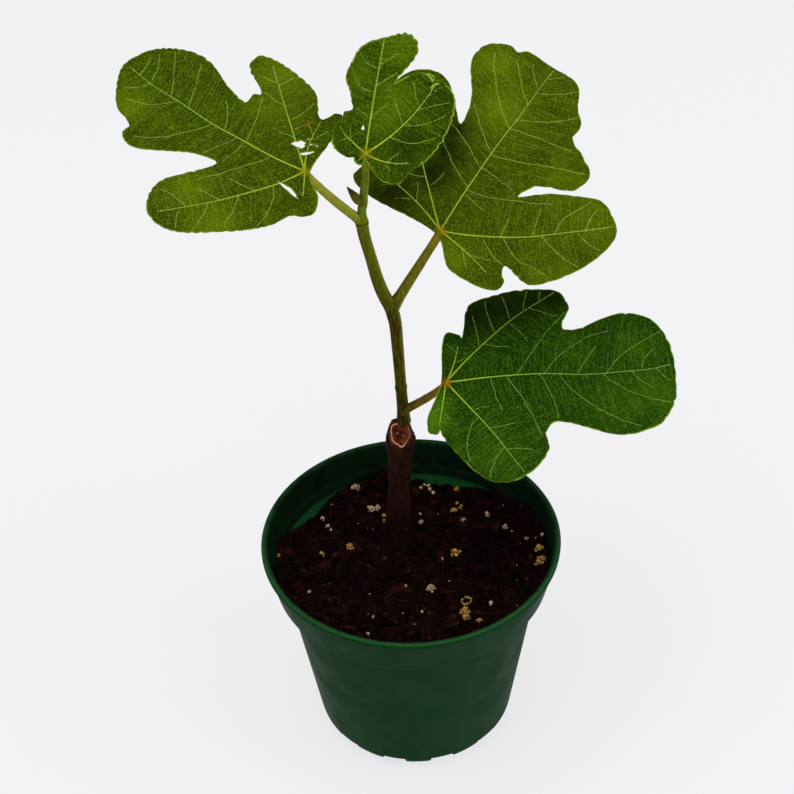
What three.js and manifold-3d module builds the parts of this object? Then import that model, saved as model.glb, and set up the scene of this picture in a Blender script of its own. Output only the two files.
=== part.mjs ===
// A young fig tree in a round nursery pot, in millimetres with +Z up.
// The origin is the centre of the pot's flat underside, and -Y is the plant's front.
// One woody cutting stands in the soil. It carries one shoot, and the shoot carries four
// lobed leaves, each on its own stalk, with a pointed bud beside the youngest.

import * as THREE from 'three';
import { mergeVertices } from 'three/addons/utils/BufferGeometryUtils.js';
import Module from 'manifold-3d';

const wasm = await Module();
wasm.setup();

// ---------------------------------------------------------------- driving dimensions

const GAP = 0.3;              // clearance between two pieces that touch on the real plant

// Pot: a thin moulded nursery pot with a wider collar and a rolled lip.
const POT_HEIGHT = 84;
const RIM_RADIUS = 52.5;
const COLLAR_TOP_RADIUS = 51.6;
const COLLAR_FOOT_RADIUS = 48.6;
const COLLAR_HEIGHT = 15.8;
const BODY_TOP_RADIUS = 44.9;
const BODY_FOOT_RADIUS = 35.8;
const FOOT_RADIUS = 31.7;
const FOOT_CHAMFER_HEIGHT = 5.4;
const STEP_HEIGHT = 2.2;
const LIP_HEIGHT = 2.5;
const WALL = 1.1;
const FLOOR = 1.6;
const POT_SIDES = 40;
const SLOT_COUNT = 12;
const SLOT_WIDTH = 9.2;
const SLOT_HEIGHT = 6;
const SLOT_TURN = THREE.MathUtils.degToRad(15);
const SLOT_INNER_RADIUS = 29;
const SLOT_OUTER_RADIUS = 40;

// Soil: it fills the pot to the collar's inner step, and is banked against the collar.
// Its height at the wall, by direction in degrees round from +X:
const SOIL_BANK = [
  [-180, 74.3], [-90, 72.6], [0, 75.2], [30, 74.3], [40, 72.4], [52, 70.3], [66, 68.6],
  [88, 68.2], [150, 68], [158, 70.5], [168, 74.2], [180, 74.3],
];
const SOIL_BANK_START = 30;
const SOIL_BANK_END = 48;
const SOIL_LEVEL = 68;
const SOIL_RINGS = 10;
const SOIL_REACH = 51;
const SOIL_TOP_GAP = 0.35;
const SOIL_MOUND = { x: -19, y: 34, height: 4.2, spread: 9 };
const SOIL_BUMP = 0.8;
const TRUNK_PATCH_RADIUS = 8;

// Trunk: the old cutting, from its flat cut at soil level to its slanted cut.
const TRUNK_ROUTE = [
  [-5.1, 14.3, 64], [-4.1, 14.3, 82], [-3.2, 14.1, 100], [-2.6, 14.2, 113], [-2.4, 14.8, 122.5],
];
const TRUNK_RADII = [
  [0, 7], [0.07, 6.2], [0.13, 5.1], [0.26, 4.5], [0.5, 4.1], [0.72, 4.2], [0.84, 5], [0.9, 4.8], [1, 3.5],
];
const CUT_POINT = [-2.6, 12.6, 119];
const CUT_SLOPE = 46;         // degrees from level, facing the front

// Shoot: one tapering stem from behind the slanted cut to the youngest leaf's stalk.
const SHOOT_ROUTE = [
  [-1, 17.3, 120.5], [-1.2, 15.2, 130.5], [-1.6, 14.2, 141], [-2.1, 14, 155], [-3.2, 14, 169.5],
  [-6.9, 14, 180], [-9.6, 14, 192], [-11.7, 14, 203.5], [-11.7, 14, 209], [-11.2, 14, 212.6],
];
const SHOOT_FOOT = 122.8;
const SHOOT_RADII = [
  [0, 2.7], [0.06, 2.05], [0.2, 1.85], [0.33, 1.9], [0.45, 2.05], [0.56, 2.2], [0.66, 2.05],
  [0.78, 1.85], [0.92, 1.95], [0.96, 1.4], [1, 1.35],
];

const LEAF_THICKNESS = 1.1;
const BLADE_CELL = 8;         // spacing of the blade's surface grid
const BLADE_CELLS = 24;
const BLADE_BACK = -1.6;      // where the outline passes behind the joint
const VALLEY_DEPTH = 1.5;     // the blade sinks this far into a valley along each main vein
const VALLEY_WIDTH = 9;
const JOINT_DIP = 0.8;        // and a little less sharply round the joint
const JOINT_DIP_WIDTH = 8;
const BEND_WIDTH = 9;         // the fold along the midrib is this wide on each side
const OUTLINE_POINTS = 92;
const RIB_START = 5;          // how far from the joint the ribs under the blade begin
const RIBBED_REACH = 25;      // lobes shorter than this carry no rib
const STALK_DROP = 2.3;       // how far under the blade's middle surface a stalk ends

// Leaves. A leaf's own frame has x along its midrib, y to the left of it and z up out of
// the blade, with its stalk joint at the origin. heading, rise and roll place that frame.
// A lobe points `turn` degrees left of the midrib and reaches its tip. right and left are
// where it is widest on each side, as [along, out], and then how sharply that side narrows.
// bay goes round the gap after it, in steps of [turn, reach]. vein is its main
// vein: [turn at its end, share of the reach, bow].
const LEAVES = {
  low: {
    joint: [13.4, 7, 145.8], heading: -0.5, rise: 0, roll: 25,
    lobes: [
      {
        turn: -106, reach: 19, right: [12, 2.6], left: [17, 2.3],
        bay: [[-94, 19.5]], vein: [-100, 0.8, 0],
      },
      {
        turn: -56, reach: 42, right: [27, 12], left: [34.3, 15.4],
        bay: [[-24.5, 38.2]], vein: [-54, 0.96, 1],
      },
      {
        turn: 2, reach: 76.5, right: [57, 22.5], left: [61, 22.5, 0.8],
        bay: [[23, 47], [26, 44]], vein: [4.5, 0.98, 0],
      },
      {
        turn: 40.5, reach: 51.5, right: [47.5, 8], left: [25, 16, 1.5],
        bay: [[71.5, 21]], vein: [41, 0.96, 1.8],
      },
      { turn: 86, reach: 18.8, right: [17, 4.6], left: [12, 1.8], vein: [75, 0.75, -1] },
    ],
    notches: [], holes: [],
    droop: 2.5, rightFold: 3, leftFold: 3, ripple: 1.2,
  },
  right: {
    joint: [12.7, 20, 197.1], heading: 49, rise: 26, roll: 21,
    lobes: [
      {
        turn: -104, reach: 27, right: [11, 6.6, 1.3], left: [24.5, 4],
        bay: [[-86.5, 23.5]], vein: [-103, 0.9, 1],
      },
      {
        turn: -57, reach: 55.8, right: [28, 18.3, 1.3], left: [46, 12.3],
        bay: [[-36.3, 38], [-31, 27.3], [-29.5, 34]], vein: [-54, 0.98, -2.2],
      },
      { turn: -32, reach: 52.3, right: [44.5, 4.4], left: [51.8, 8], bay: [[-18.5, 54], [-16.8, 59]] },
      {
        turn: 8, reach: 71.3, right: [59, 21.1], left: [60, 17.3, 0.65],
        bay: [[21.5, 47], [24, 38]], vein: [1, 0.98, 1.3],
      },
      {
        turn: 44, reach: 57.7, right: [49, 12.6], left: [40, 11.2, 1.2],
        bay: [[70, 33.8]], vein: [46, 0.93, 0.5],
      },
      { turn: 88, reach: 33.9, right: [31, 6.3], left: [25, 3.6], vein: [83, 0.9, -2.5] },
    ],
    notches: [{ at: [69.5, 15], depth: 2, width: 2 }], holes: [],
    droop: 2, rightFold: 3, leftFold: 3, ripple: 1.4,
  },
  left: {
    joint: [-28.1, 10, 226.7], heading: 147, rise: 14, roll: -21,
    lobes: [
      { turn: -84, reach: 23, right: [15, 1.6], left: [20.5, 3.2], bay: [[-68, 20]], vein: [-80, 0.8, 0] },
      {
        turn: -37, reach: 46, right: [25.5, 11.8, 1.5], left: [42, 4.5],
        bay: [[-31, 34.5], [-30, 32.4], [-26, 33.2], [-20, 31.7], [-18.3, 39.5]], vein: [-41, 0.9, 0],
      },
      {
        turn: -3, reach: 72, right: [50, 14.5, 1], left: [49, 24, 1.4],
        bay: [[22, 34], [27, 27]], vein: [-2.5, 0.96, 0.3],
      },
      {
        turn: 50, reach: 48.8, right: [35, 10.2], left: [22, 15.2, 1.1],
        bay: [[98, 20.8]], vein: [50, 0.96, 2.6],
      },
      { turn: 128, reach: 15.3, right: [15, 5.4], left: [8.5, 3.4], vein: [117, 0.75, 0] },
    ],
    notches: [{ at: [59.5, 15], depth: 4, width: 3.6 }],
    holes: [
      { at: [7.6, -7.6], size: [4.2, 2.6], tilt: 20 },
      { at: [3.7, -6], size: [4.4, 1.1], tilt: 43 },
      { at: [0.6, 7.6], size: [8, 1.3], tilt: -12 },
    ],
    droop: 1.5, rightFold: 3, leftFold: 3, ripple: 1.3,
  },
  top: {
    joint: [-9.7, 13, 230.6], heading: 65, rise: 57, roll: 22,
    lobes: [
      {
        turn: -112, reach: 14, right: [7.5, 4.1], left: [14.4, 3.2],
        bay: [[-91, 16.7]], vein: [-92, 0.95, -1.5],
      },
      {
        turn: -46, reach: 31.7, right: [16, 11.4, 1.4], left: [22.5, 12.5],
        bay: [[-11.6, 22.7]], vein: [-32, 0.9, -2.5],
      },
      {
        turn: -8, reach: 37.9, right: [33, 4.8], left: [18.5, 17.3, 1.5],
        bay: [[28, 18], [27, 13.7], [42.5, 14.5]], vein: [0, 0.93, 0.5],
      },
      { turn: 80, reach: 14.9, right: [11.3, 6.3], left: [9, 2.7], bay: [[112, 5.5]], vein: [60, 0.85, 0] },
      { turn: 150, reach: 4, right: [3, 1.6], left: [2.5, 1.6], vein: [145, 0.7, 0] },
    ],
    notches: [{ at: [25.5, -16.5], depth: 1.4, width: 1 }],
    holes: [{ at: [7.4, 2], size: [1.6, 0.9], tilt: 0 }],
    droop: 2, rightFold: 8, leftFold: 64, ripple: 0.8,
  },
};

// Leaf stalks: the place inside the shoot each grows from, how it bows, and its radius at
// either end. The top stalk stands on the shoot's tip.
const STALKS = {
  low: { start: [-1.1, 15.4, 127.6], bow: [0.3, 0, -0.4], radii: [1.45, 1.25] },
  right: { start: [-3, 14, 173], bow: [0, 0, 0], radii: [1.8, 1.35] },
  left: { start: [-11.5, 14, 205.2], bow: [0, 0, -0.6], radii: [1.45, 1.3] },
  top: { start: [-11.2, 14, 213], bow: [0.3, 0, 0], radii: [1.3, 1.1] },
};

const BUD = { foot: [-12.3, 13, 213.6], tip: [-15.7, 11, 220.2], radius: 1.7 };

// ---------------------------------------------------------------- small helpers

const radians = THREE.MathUtils.degToRad;
const vector = (point) => new THREE.Vector3(...point);

function material(name, color, roughness) {
  return new THREE.MeshStandardMaterial({ name, color, roughness, metalness: 0 });
}

function welded(geometry) {
  const bare = geometry.clone();
  bare.deleteAttribute('normal');
  bare.deleteAttribute('uv');
  return mergeVertices(bare, 1e-4);
}

function solid(geometry) {
  const closed = welded(geometry);
  return new wasm.Manifold(new wasm.Mesh({
    numProp: 3,
    vertProperties: new Float32Array(closed.attributes.position.array),
    triVerts: new Uint32Array(closed.index.array),
  }));
}

function geometryOf(manifold) {
  const mesh = manifold.getMesh();
  const geometry = new THREE.BufferGeometry();
  geometry.setAttribute('position', new THREE.BufferAttribute(mesh.vertProperties, 3));
  geometry.setIndex(new THREE.BufferAttribute(mesh.triVerts, 1));
  geometry.computeVertexNormals();
  return geometry;
}

function named(name, geometry, look) {
  const mesh = new THREE.Mesh(geometry, look);
  mesh.name = name;
  return mesh;
}

// Moves every vertex of a geometry by a function of its old place.
function reshape(geometry, move) {
  const position = geometry.attributes.position;
  const point = new THREE.Vector3();
  for (let i = 0; i < position.count; i += 1) {
    point.fromBufferAttribute(position, i);
    move(point);
    position.setXYZ(i, point.x, point.y, point.z);
  }
  geometry.computeVertexNormals();
  return geometry;
}

// Reads a list of [place, value] stations at a place between 0 and 1.
function between(stations, place) {
  let index = 1;
  while (index < stations.length - 1 && stations[index][0] < place) {
    index += 1;
  }
  const [startPlace, startValue] = stations[index - 1];
  const [endPlace, endValue] = stations[index];
  const share = THREE.MathUtils.clamp((place - startPlace) / (endPlace - startPlace), 0, 1);
  return THREE.MathUtils.lerp(startValue, endValue, share);
}

// A tapering limb: a closed cylinder whose rings are carried along a smooth route.
function limb(route, radii, sides, steps) {
  const curve = new THREE.CatmullRomCurve3(route.map(vector), false, 'centripetal');
  const geometry = new THREE.CylinderGeometry(1, 1, 1, sides, steps);
  const side = new THREE.Vector3();
  const front = new THREE.Vector3();
  return reshape(geometry, (point) => {
    const place = THREE.MathUtils.clamp(point.y + 0.5, 0, 1);
    const forward = curve.getTangentAt(place);
    side.set(1, 0, 0).addScaledVector(forward, -forward.x).normalize();
    front.crossVectors(side, forward);
    const radius = between(radii, place);
    const across = point.x * radius;
    const ahead = point.z * radius;
    point.copy(curve.getPointAt(place)).addScaledVector(side, across).addScaledVector(front, ahead);
  });
}

// ---------------------------------------------------------------- pot and soil

function pot() {
  const collarFoot = POT_HEIGHT - COLLAR_HEIGHT;
  const bodyTop = collarFoot - STEP_HEIGHT;
  const outside = [
    [0, 0],
    [FOOT_RADIUS, 0],
    [FOOT_RADIUS + 1.9, 1.9],
    [BODY_FOOT_RADIUS, FOOT_CHAMFER_HEIGHT],
    [BODY_TOP_RADIUS, bodyTop],
    [BODY_TOP_RADIUS + 1.7, bodyTop + 0.5],
    [COLLAR_FOOT_RADIUS, collarFoot],
    [COLLAR_TOP_RADIUS, POT_HEIGHT - LIP_HEIGHT],
    [RIM_RADIUS - 0.2, POT_HEIGHT - LIP_HEIGHT + 0.2],
    [RIM_RADIUS, POT_HEIGHT - 0.7],
    [RIM_RADIUS - 0.6, POT_HEIGHT],
  ];
  const inside = [
    [RIM_RADIUS - 1.5, POT_HEIGHT],
    [COLLAR_TOP_RADIUS - WALL - 0.1, POT_HEIGHT - 1],
    [COLLAR_FOOT_RADIUS - WALL, collarFoot + 1.4],
    [COLLAR_FOOT_RADIUS - 2.4, collarFoot + 0.2],
    [BODY_TOP_RADIUS - WALL, collarFoot - 0.9],
    [BODY_FOOT_RADIUS - WALL, FOOT_CHAMFER_HEIGHT + 0.4],
    [FOOT_RADIUS - 0.9, FLOOR],
    [0, FLOOR],
  ];
  const profile = [...outside, ...inside].map(([radius, height]) => new THREE.Vector2(radius, height));
  const shell = new THREE.LatheGeometry(profile, POT_SIDES).rotateX(Math.PI / 2);
  let body = solid(shell);
  for (let index = 0; index < SLOT_COUNT; index += 1) {
    const length = SLOT_OUTER_RADIUS - SLOT_INNER_RADIUS;
    const slot = new THREE.BoxGeometry(length, SLOT_WIDTH, 2 * SLOT_HEIGHT);
    slot.translate(SLOT_INNER_RADIUS + length / 2, 0, 0);
    slot.rotateZ((2 * Math.PI * index) / SLOT_COUNT + SLOT_TURN);
    body = body.subtract(solid(slot));
  }
  return named('pot', geometryOf(body), material('pot', '#1f5a37', 0.5));
}

// Height of the bank at the wall, between the two directions beside it.
function bankHeight(turn) {
  const after = Math.max(1, SOIL_BANK.findIndex(([angle]) => angle >= turn));
  const [lowAngle, lowHeight] = SOIL_BANK[after - 1];
  const [highAngle, highHeight] = SOIL_BANK[after];
  return THREE.MathUtils.mapLinear(turn, lowAngle, highAngle, lowHeight, highHeight);
}

// Height of the potting mix at a place: small lumps, one mound and a level patch under
// the trunk, with a bank that rises to the wall.
function soilHeight(x, y) {
  const lumps = Math.sin(0.31 * x + 1.3) * Math.cos(0.27 * y) + 0.6 * Math.sin(0.53 * x - 0.44 * y);
  const away = Math.hypot(x - SOIL_MOUND.x, y - SOIL_MOUND.y) / SOIL_MOUND.spread;
  const mound = SOIL_MOUND.height * Math.exp(-away * away);
  const [trunkX, trunkY] = TRUNK_ROUTE[0];
  const fromTrunk = Math.hypot(x - trunkX, y - trunkY);
  const loose = THREE.MathUtils.smoothstep(fromTrunk, TRUNK_PATCH_RADIUS, TRUNK_PATCH_RADIUS + 8);
  const outward = (Math.hypot(x, y) - SOIL_BANK_START) / (SOIL_BANK_END - SOIL_BANK_START);
  const rise = bankHeight(THREE.MathUtils.radToDeg(Math.atan2(y, x))) - SOIL_LEVEL;
  const bank = rise * THREE.MathUtils.clamp(outward, 0, 1) ** 2;
  return SOIL_LEVEL + loose * (SOIL_BUMP * lumps + mound + bank);
}

// The room inside the pot, a gap clear of its wall.
function potRoom() {
  const collarFoot = POT_HEIGHT - COLLAR_HEIGHT;
  const profile = [
    [0, FLOOR + GAP],
    [FOOT_RADIUS - 0.9 - GAP, FLOOR + GAP],
    [BODY_FOOT_RADIUS - WALL - GAP, FOOT_CHAMFER_HEIGHT + 0.4],
    [BODY_TOP_RADIUS - WALL - GAP, collarFoot - 0.9 + SOIL_TOP_GAP],
    [COLLAR_FOOT_RADIUS - 2.4 - GAP, collarFoot + 0.2 + SOIL_TOP_GAP],
    [COLLAR_FOOT_RADIUS - WALL - SOIL_TOP_GAP, collarFoot + 1.4 + SOIL_TOP_GAP],
    [COLLAR_TOP_RADIUS - WALL - 0.5 - SOIL_TOP_GAP, POT_HEIGHT - 1.6],
    [0, POT_HEIGHT - 1.6],
  ];
  const points = profile.map(([radius, height]) => new THREE.Vector2(radius, height));
  return new THREE.LatheGeometry(points, POT_SIDES).rotateX(Math.PI / 2);
}

function soil() {
  const points = [new THREE.Vector2(0, 0), new THREE.Vector2(SOIL_REACH, 0)];
  for (let ring = SOIL_RINGS; ring >= 0; ring -= 1) {
    points.push(new THREE.Vector2((SOIL_REACH * ring) / SOIL_RINGS, SOIL_LEVEL));
  }
  const fill = new THREE.LatheGeometry(points, POT_SIDES).rotateX(Math.PI / 2);
  reshape(fill, (point) => {
    const onTop = Math.abs(point.z - SOIL_LEVEL) < 1e-3;
    if (onTop) {
      point.z = soilHeight(point.x, point.y);
    }
  });
  const heap = solid(fill).intersect(solid(potRoom()));
  return named('soil', geometryOf(heap), material('soil', '#2b1d16', 1));
}

// ---------------------------------------------------------------- woody parts

// Cuts a limb off level at a height near its lower end.
function levelled(body, start, height) {
  const size = 40;
  const waste = new THREE.BoxGeometry(size, size, size);
  waste.translate(start[0], start[1], height - size / 2);
  return body.subtract(solid(waste));
}

function trunk() {
  const wood = solid(limb(TRUNK_ROUTE, TRUNK_RADII, 14, 14));
  const waste = new THREE.BoxGeometry(30, 60, 20);
  waste.translate(0, 0, 10);
  waste.rotateX(radians(CUT_SLOPE));
  waste.translate(...CUT_POINT);
  const cut = levelled(wood.subtract(solid(waste)), TRUNK_ROUTE[0], SOIL_LEVEL + GAP);
  return named('trunk', geometryOf(cut), material('bark', '#4a3527', 0.85));
}

function shoot() {
  const stem = levelled(solid(limb(SHOOT_ROUTE, SHOOT_RADII, 12, 26)), SHOOT_ROUTE[0], SHOOT_FOOT);
  return named('shoot', geometryOf(stem), material('shoot', '#6d6a34', 0.65));
}

const swollen = (radii) => radii.map(([place, radius]) => [place, radius + GAP]);

// Cuts what grows from the shoot's side clear of the shoot.
function clearOfShoot(body) {
  return body.subtract(solid(limb(SHOOT_ROUTE, swollen(SHOOT_RADII), 12, 26)));
}

function bud() {
  const route = [BUD.foot, BUD.tip];
  const radii = [[0, BUD.radius], [0.35, BUD.radius * 0.9], [0.7, BUD.radius * 0.5], [1, 0.2]];
  const topStalk = solid(limb(stalkRoute('top'), swollen(stalkRadii('top')), 10, 12));
  const body = clearOfShoot(solid(limb(route, radii, 10, 7))).subtract(topStalk);
  return named('bud', geometryOf(body), material('bud', '#7b7a35', 0.6));
}

// ---------------------------------------------------------------- leaves

// The leaf's own frame in the plant's frame.
function leafMatrix(leaf) {
  const turn = new THREE.Quaternion().setFromAxisAngle(new THREE.Vector3(0, 0, 1), radians(leaf.heading));
  const rise = new THREE.Quaternion().setFromAxisAngle(new THREE.Vector3(0, 1, 0), -radians(leaf.rise));
  const roll = new THREE.Quaternion().setFromAxisAngle(new THREE.Vector3(1, 0, 0), radians(leaf.roll));
  const facing = turn.multiply(rise).multiply(roll);
  return new THREE.Matrix4().compose(vector(leaf.joint), facing, new THREE.Vector3(1, 1, 1));
}

const polar = (turn, reach) => new THREE.Vector2(
  reach * Math.cos(radians(turn)),
  reach * Math.sin(radians(turn)),
);

// Points round one lobe, from its widest place on the right, over its tip, to the left.
function lobePoints(lobe) {
  const along = polar(lobe.turn, 1);
  const out = polar(lobe.turn + 90, 1);
  const place = (forward, sideways) => along.clone().multiplyScalar(forward).addScaledVector(out, sideways);
  const points = [];
  const edge = ([start, width, sharpness = 0.9], angle, side) => {
    const forward = start + (lobe.reach - start) * Math.sin(radians(angle)) ** sharpness;
    points.push(place(forward, side * width * Math.cos(radians(angle)) ** sharpness));
  };
  [0, 32, 62].forEach((angle) => edge(lobe.right, angle, -1));
  points.push(place(lobe.reach, 0));
  [62, 32, 0].forEach((angle) => edge(lobe.left, angle, 1));
  return points;
}

// The closed outline of a blade, with its bitten notches.
function bladeOutline(leaf) {
  const corners = [new THREE.Vector2(BLADE_BACK, 0)];
  for (const lobe of leaf.lobes) {
    corners.push(...lobePoints(lobe));
    const { bay = [] } = lobe;
    corners.push(...bay.map((step) => polar(...step)));
  }
  const places = corners.map((corner) => new THREE.Vector3(corner.x, corner.y, 0));
  const curve = new THREE.CatmullRomCurve3(places, true, 'centripetal');
  const outline = curve.getSpacedPoints(OUTLINE_POINTS).slice(0, -1);
  return outline.map((point) => {
    const rim = new THREE.Vector2(point.x, point.y);
    for (const notch of leaf.notches) {
      const away = rim.distanceTo(new THREE.Vector2(...notch.at)) / notch.width;
      rim.addScaledVector(rim.clone().normalize(), -notch.depth * Math.exp(-away * away));
    }
    return rim;
  });
}

// A place on a lobe's main vein, which bows to the left by a few millimetres.
function veinPoint(lobe, share) {
  const [turn, , bow] = lobe.vein;
  const straight = polar(turn, lobe.reach * share);
  return straight.add(polar(turn + 90, 4 * bow * share * (1 - share)));
}

// Height of the blade's middle surface over its own flat plane: it droops towards the
// tip, ripples gently and sinks into a valley along each main vein.
function bladeHeight(leaf, x, y) {
  const place = new THREE.Vector2(x, y);
  const reach = Math.max(...leaf.lobes.map((lobe) => lobe.reach));
  let valley = 1;
  for (const lobe of leaf.lobes.filter((each) => each.vein)) {
    const tip = veinPoint(lobe, 1);
    const share = THREE.MathUtils.clamp(place.dot(tip) / tip.lengthSq(), 0, 1);
    const away = place.distanceTo(veinPoint(lobe, share)) / VALLEY_WIDTH;
    valley = Math.min(valley, 1 - Math.exp(-away * away));
  }
  const outward = place.length() / reach;
  const ripple = Math.sin(0.16 * x + 0.21 * y + leaf.heading) * Math.cos(0.13 * y - 0.09 * x);
  const dip = JOINT_DIP * (1 - Math.exp(-((place.length() / JOINT_DIP_WIDTH) ** 2)));
  return VALLEY_DEPTH * valley - dip + leaf.ripple * outward * ripple - leaf.droop * outward * outward;
}

// Folds a flat blade up along its midrib, each half by its own angle over a short bend.
function foldBlade(leaf, point) {
  const angle = radians(point.y < 0 ? leaf.rightFold : leaf.leftFold);
  const radius = BEND_WIDTH / angle;
  const distance = Math.abs(point.y);
  const turned = Math.min(distance, BEND_WIDTH) / radius;
  const straight = Math.max(distance - BEND_WIDTH, 0);
  const across = radius * Math.sin(turned) + straight * Math.cos(turned);
  const lift = radius * (1 - Math.cos(turned)) + straight * Math.sin(turned);
  const rise = point.z;
  point.y = Math.sign(point.y) * (across - rise * Math.sin(turned));
  point.z = lift + rise * Math.cos(turned);
}

// A main rib under the blade, thinning towards the lobe's tip.
function rib(leaf, lobe) {
  const thick = 0.45 + 0.012 * lobe.reach;
  const route = [];
  for (let step = 0; step <= 6; step += 1) {
    const share = THREE.MathUtils.lerp(RIB_START / lobe.reach, lobe.vein[1] * 0.9, step / 6);
    const place = veinPoint(lobe, share);
    const depth = bladeHeight(leaf, place.x, place.y) - LEAF_THICKNESS / 2 - 0.1;
    route.push([place.x, place.y, depth]);
  }
  return solid(limb(route, [[0, thick], [1, 0.35]], 5, 6));
}

function blade(leaf) {
  const shape = new THREE.Shape(bladeOutline(leaf));
  for (const hole of leaf.holes) {
    const path = new THREE.Path();
    const [length, width] = hole.size;
    path.absellipse(...hole.at, length / 2, width / 2, 0, 2 * Math.PI, true, radians(hole.tilt));
    shape.holes.push(path);
  }
  const prism = new THREE.ExtrudeGeometry(shape, { depth: 60, bevelEnabled: false, curveSegments: 5 });
  prism.translate(0, 0, -30);
  const span = BLADE_CELLS * BLADE_CELL;
  const slab = new THREE.BoxGeometry(span, span, LEAF_THICKNESS, BLADE_CELLS, BLADE_CELLS, 1);
  reshape(slab, (point) => {
    point.z += bladeHeight(leaf, point.x, point.y);
  });
  let body = solid(slab).intersect(solid(prism));
  for (const lobe of leaf.lobes.filter((each) => each.vein && each.reach > RIBBED_REACH)) {
    body = body.add(rib(leaf, lobe));
  }
  const geometry = geometryOf(body);
  reshape(geometry, (point) => foldBlade(leaf, point));
  return geometry.applyMatrix4(leafMatrix(leaf));
}

function leaf(name) {
  return named(`leaf_${name}`, blade(LEAVES[name]), material(`leaf_${name}`, '#5d6f2c', 0.55));
}

// A stalk runs from the shoot to just under its blade's joint.
function stalkRoute(name) {
  const { start, bow } = STALKS[name];
  const under = new THREE.Vector3(0, 0, -STALK_DROP).applyMatrix4(leafMatrix(LEAVES[name]));
  const middle = vector(start).lerp(under, 0.5).add(vector(bow));
  return [start, middle.toArray(), under.toArray()];
}

function stalkRadii(name) {
  const [foot, end] = STALKS[name].radii;
  return [[0, foot * 1.15], [0.12, foot], [1, end]];
}

function stalk(name) {
  const body = clearOfShoot(solid(limb(stalkRoute(name), stalkRadii(name), 10, 12)));
  return named(`stalk_${name}`, geometryOf(body), material(`stalk_${name}`, '#a2813a', 0.6));
}

// ---------------------------------------------------------------- assembly

const plant = new THREE.Group();
plant.name = 'potted_fig_tree';
plant.add(pot(), soil(), trunk(), shoot(), bud());
for (const name of Object.keys(LEAVES)) {
  plant.add(stalk(name), leaf(name));
}

export default plant;
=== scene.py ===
# %% [markdown]
# # A young fig tree in a nursery pot
# A finished set of solids gives every part of this plant its place: a pot, the soil in it,
# an old woody cutting, one green shoot, four stalks, four lobed leaves and a bud. This
# lesson dresses those solids. Each piece is built again in fine mesh code round the same
# dimensions, and then gets a node material. The units are millimetres until the moment a
# mesh is made, because a gardener thinks of a leaf as 70 mm long, not as 0.07 m.

# %% Load the solids
import math
import random

import bmesh
import bpy
import numpy as np
from mathutils import Matrix, Vector, geometry, kdtree, noise


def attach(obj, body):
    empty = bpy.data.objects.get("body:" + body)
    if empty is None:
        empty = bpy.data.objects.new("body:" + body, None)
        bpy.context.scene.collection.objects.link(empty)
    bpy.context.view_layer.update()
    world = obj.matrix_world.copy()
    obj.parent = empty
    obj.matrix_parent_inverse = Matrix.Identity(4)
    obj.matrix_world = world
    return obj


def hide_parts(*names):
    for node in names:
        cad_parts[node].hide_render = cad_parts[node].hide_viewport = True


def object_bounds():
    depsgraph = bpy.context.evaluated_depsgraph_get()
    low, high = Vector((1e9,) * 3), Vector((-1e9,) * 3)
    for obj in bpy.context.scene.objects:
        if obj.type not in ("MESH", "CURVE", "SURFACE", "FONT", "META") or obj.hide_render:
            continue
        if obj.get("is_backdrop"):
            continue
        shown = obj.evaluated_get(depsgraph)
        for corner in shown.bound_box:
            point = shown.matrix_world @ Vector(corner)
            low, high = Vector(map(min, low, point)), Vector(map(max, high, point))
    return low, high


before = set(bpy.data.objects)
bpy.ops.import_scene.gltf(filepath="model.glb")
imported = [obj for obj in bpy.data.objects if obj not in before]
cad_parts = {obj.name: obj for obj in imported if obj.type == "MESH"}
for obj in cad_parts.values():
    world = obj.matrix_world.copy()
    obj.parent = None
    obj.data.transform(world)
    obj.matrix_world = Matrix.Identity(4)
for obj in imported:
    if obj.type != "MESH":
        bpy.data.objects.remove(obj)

cad_low, cad_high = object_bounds()
print("solids from", [round(v, 3) for v in cad_low], "to", [round(v, 3) for v in cad_high])

# %% [markdown]
# ## Small helpers
# A few things come back in many cells: a soft step between two values, a soft hill, a table
# of stations read at any place between them, a smooth curve through a few points, and a way
# to turn points and faces into a piece. Each piece carries facts on its points, such as how
# far a point is from a vein. A material can read a fact by its name, so colour follows the
# shape.

# %% Soft steps, hills and directions
MM = 0.001
TINY = 1e-9


def soft_step(low, high, value):
    """Rises smoothly from 0 at `low` to 1 at `high`."""
    share = np.clip((value - low) / (high - low), 0.0, 1.0)
    return share * share * (3.0 - 2.0 * share)


def hill(distance, width):
    """A soft hill: 1 in the middle and next to nothing at twice its width."""
    return np.exp(-((distance / width) ** 2))


def polar(turn, reach):
    """A flat place, given by its turn in degrees and its reach."""
    return np.array([reach * math.cos(math.radians(turn)), reach * math.sin(math.radians(turn))])


def ring_angles(sides):
    return 2 * np.pi * np.arange(sides) / sides


def unit(rows):
    """Each row made 1 long."""
    return rows / (np.linalg.norm(rows, axis=1)[:, None] + TINY)


def stations(table, places):
    """Reads a table of (place, value) rows at any places."""
    return np.interp(places, *np.transpose(table))


# %% Smooth lines with even steps
LEAST_KNOT = 1e-4


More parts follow.
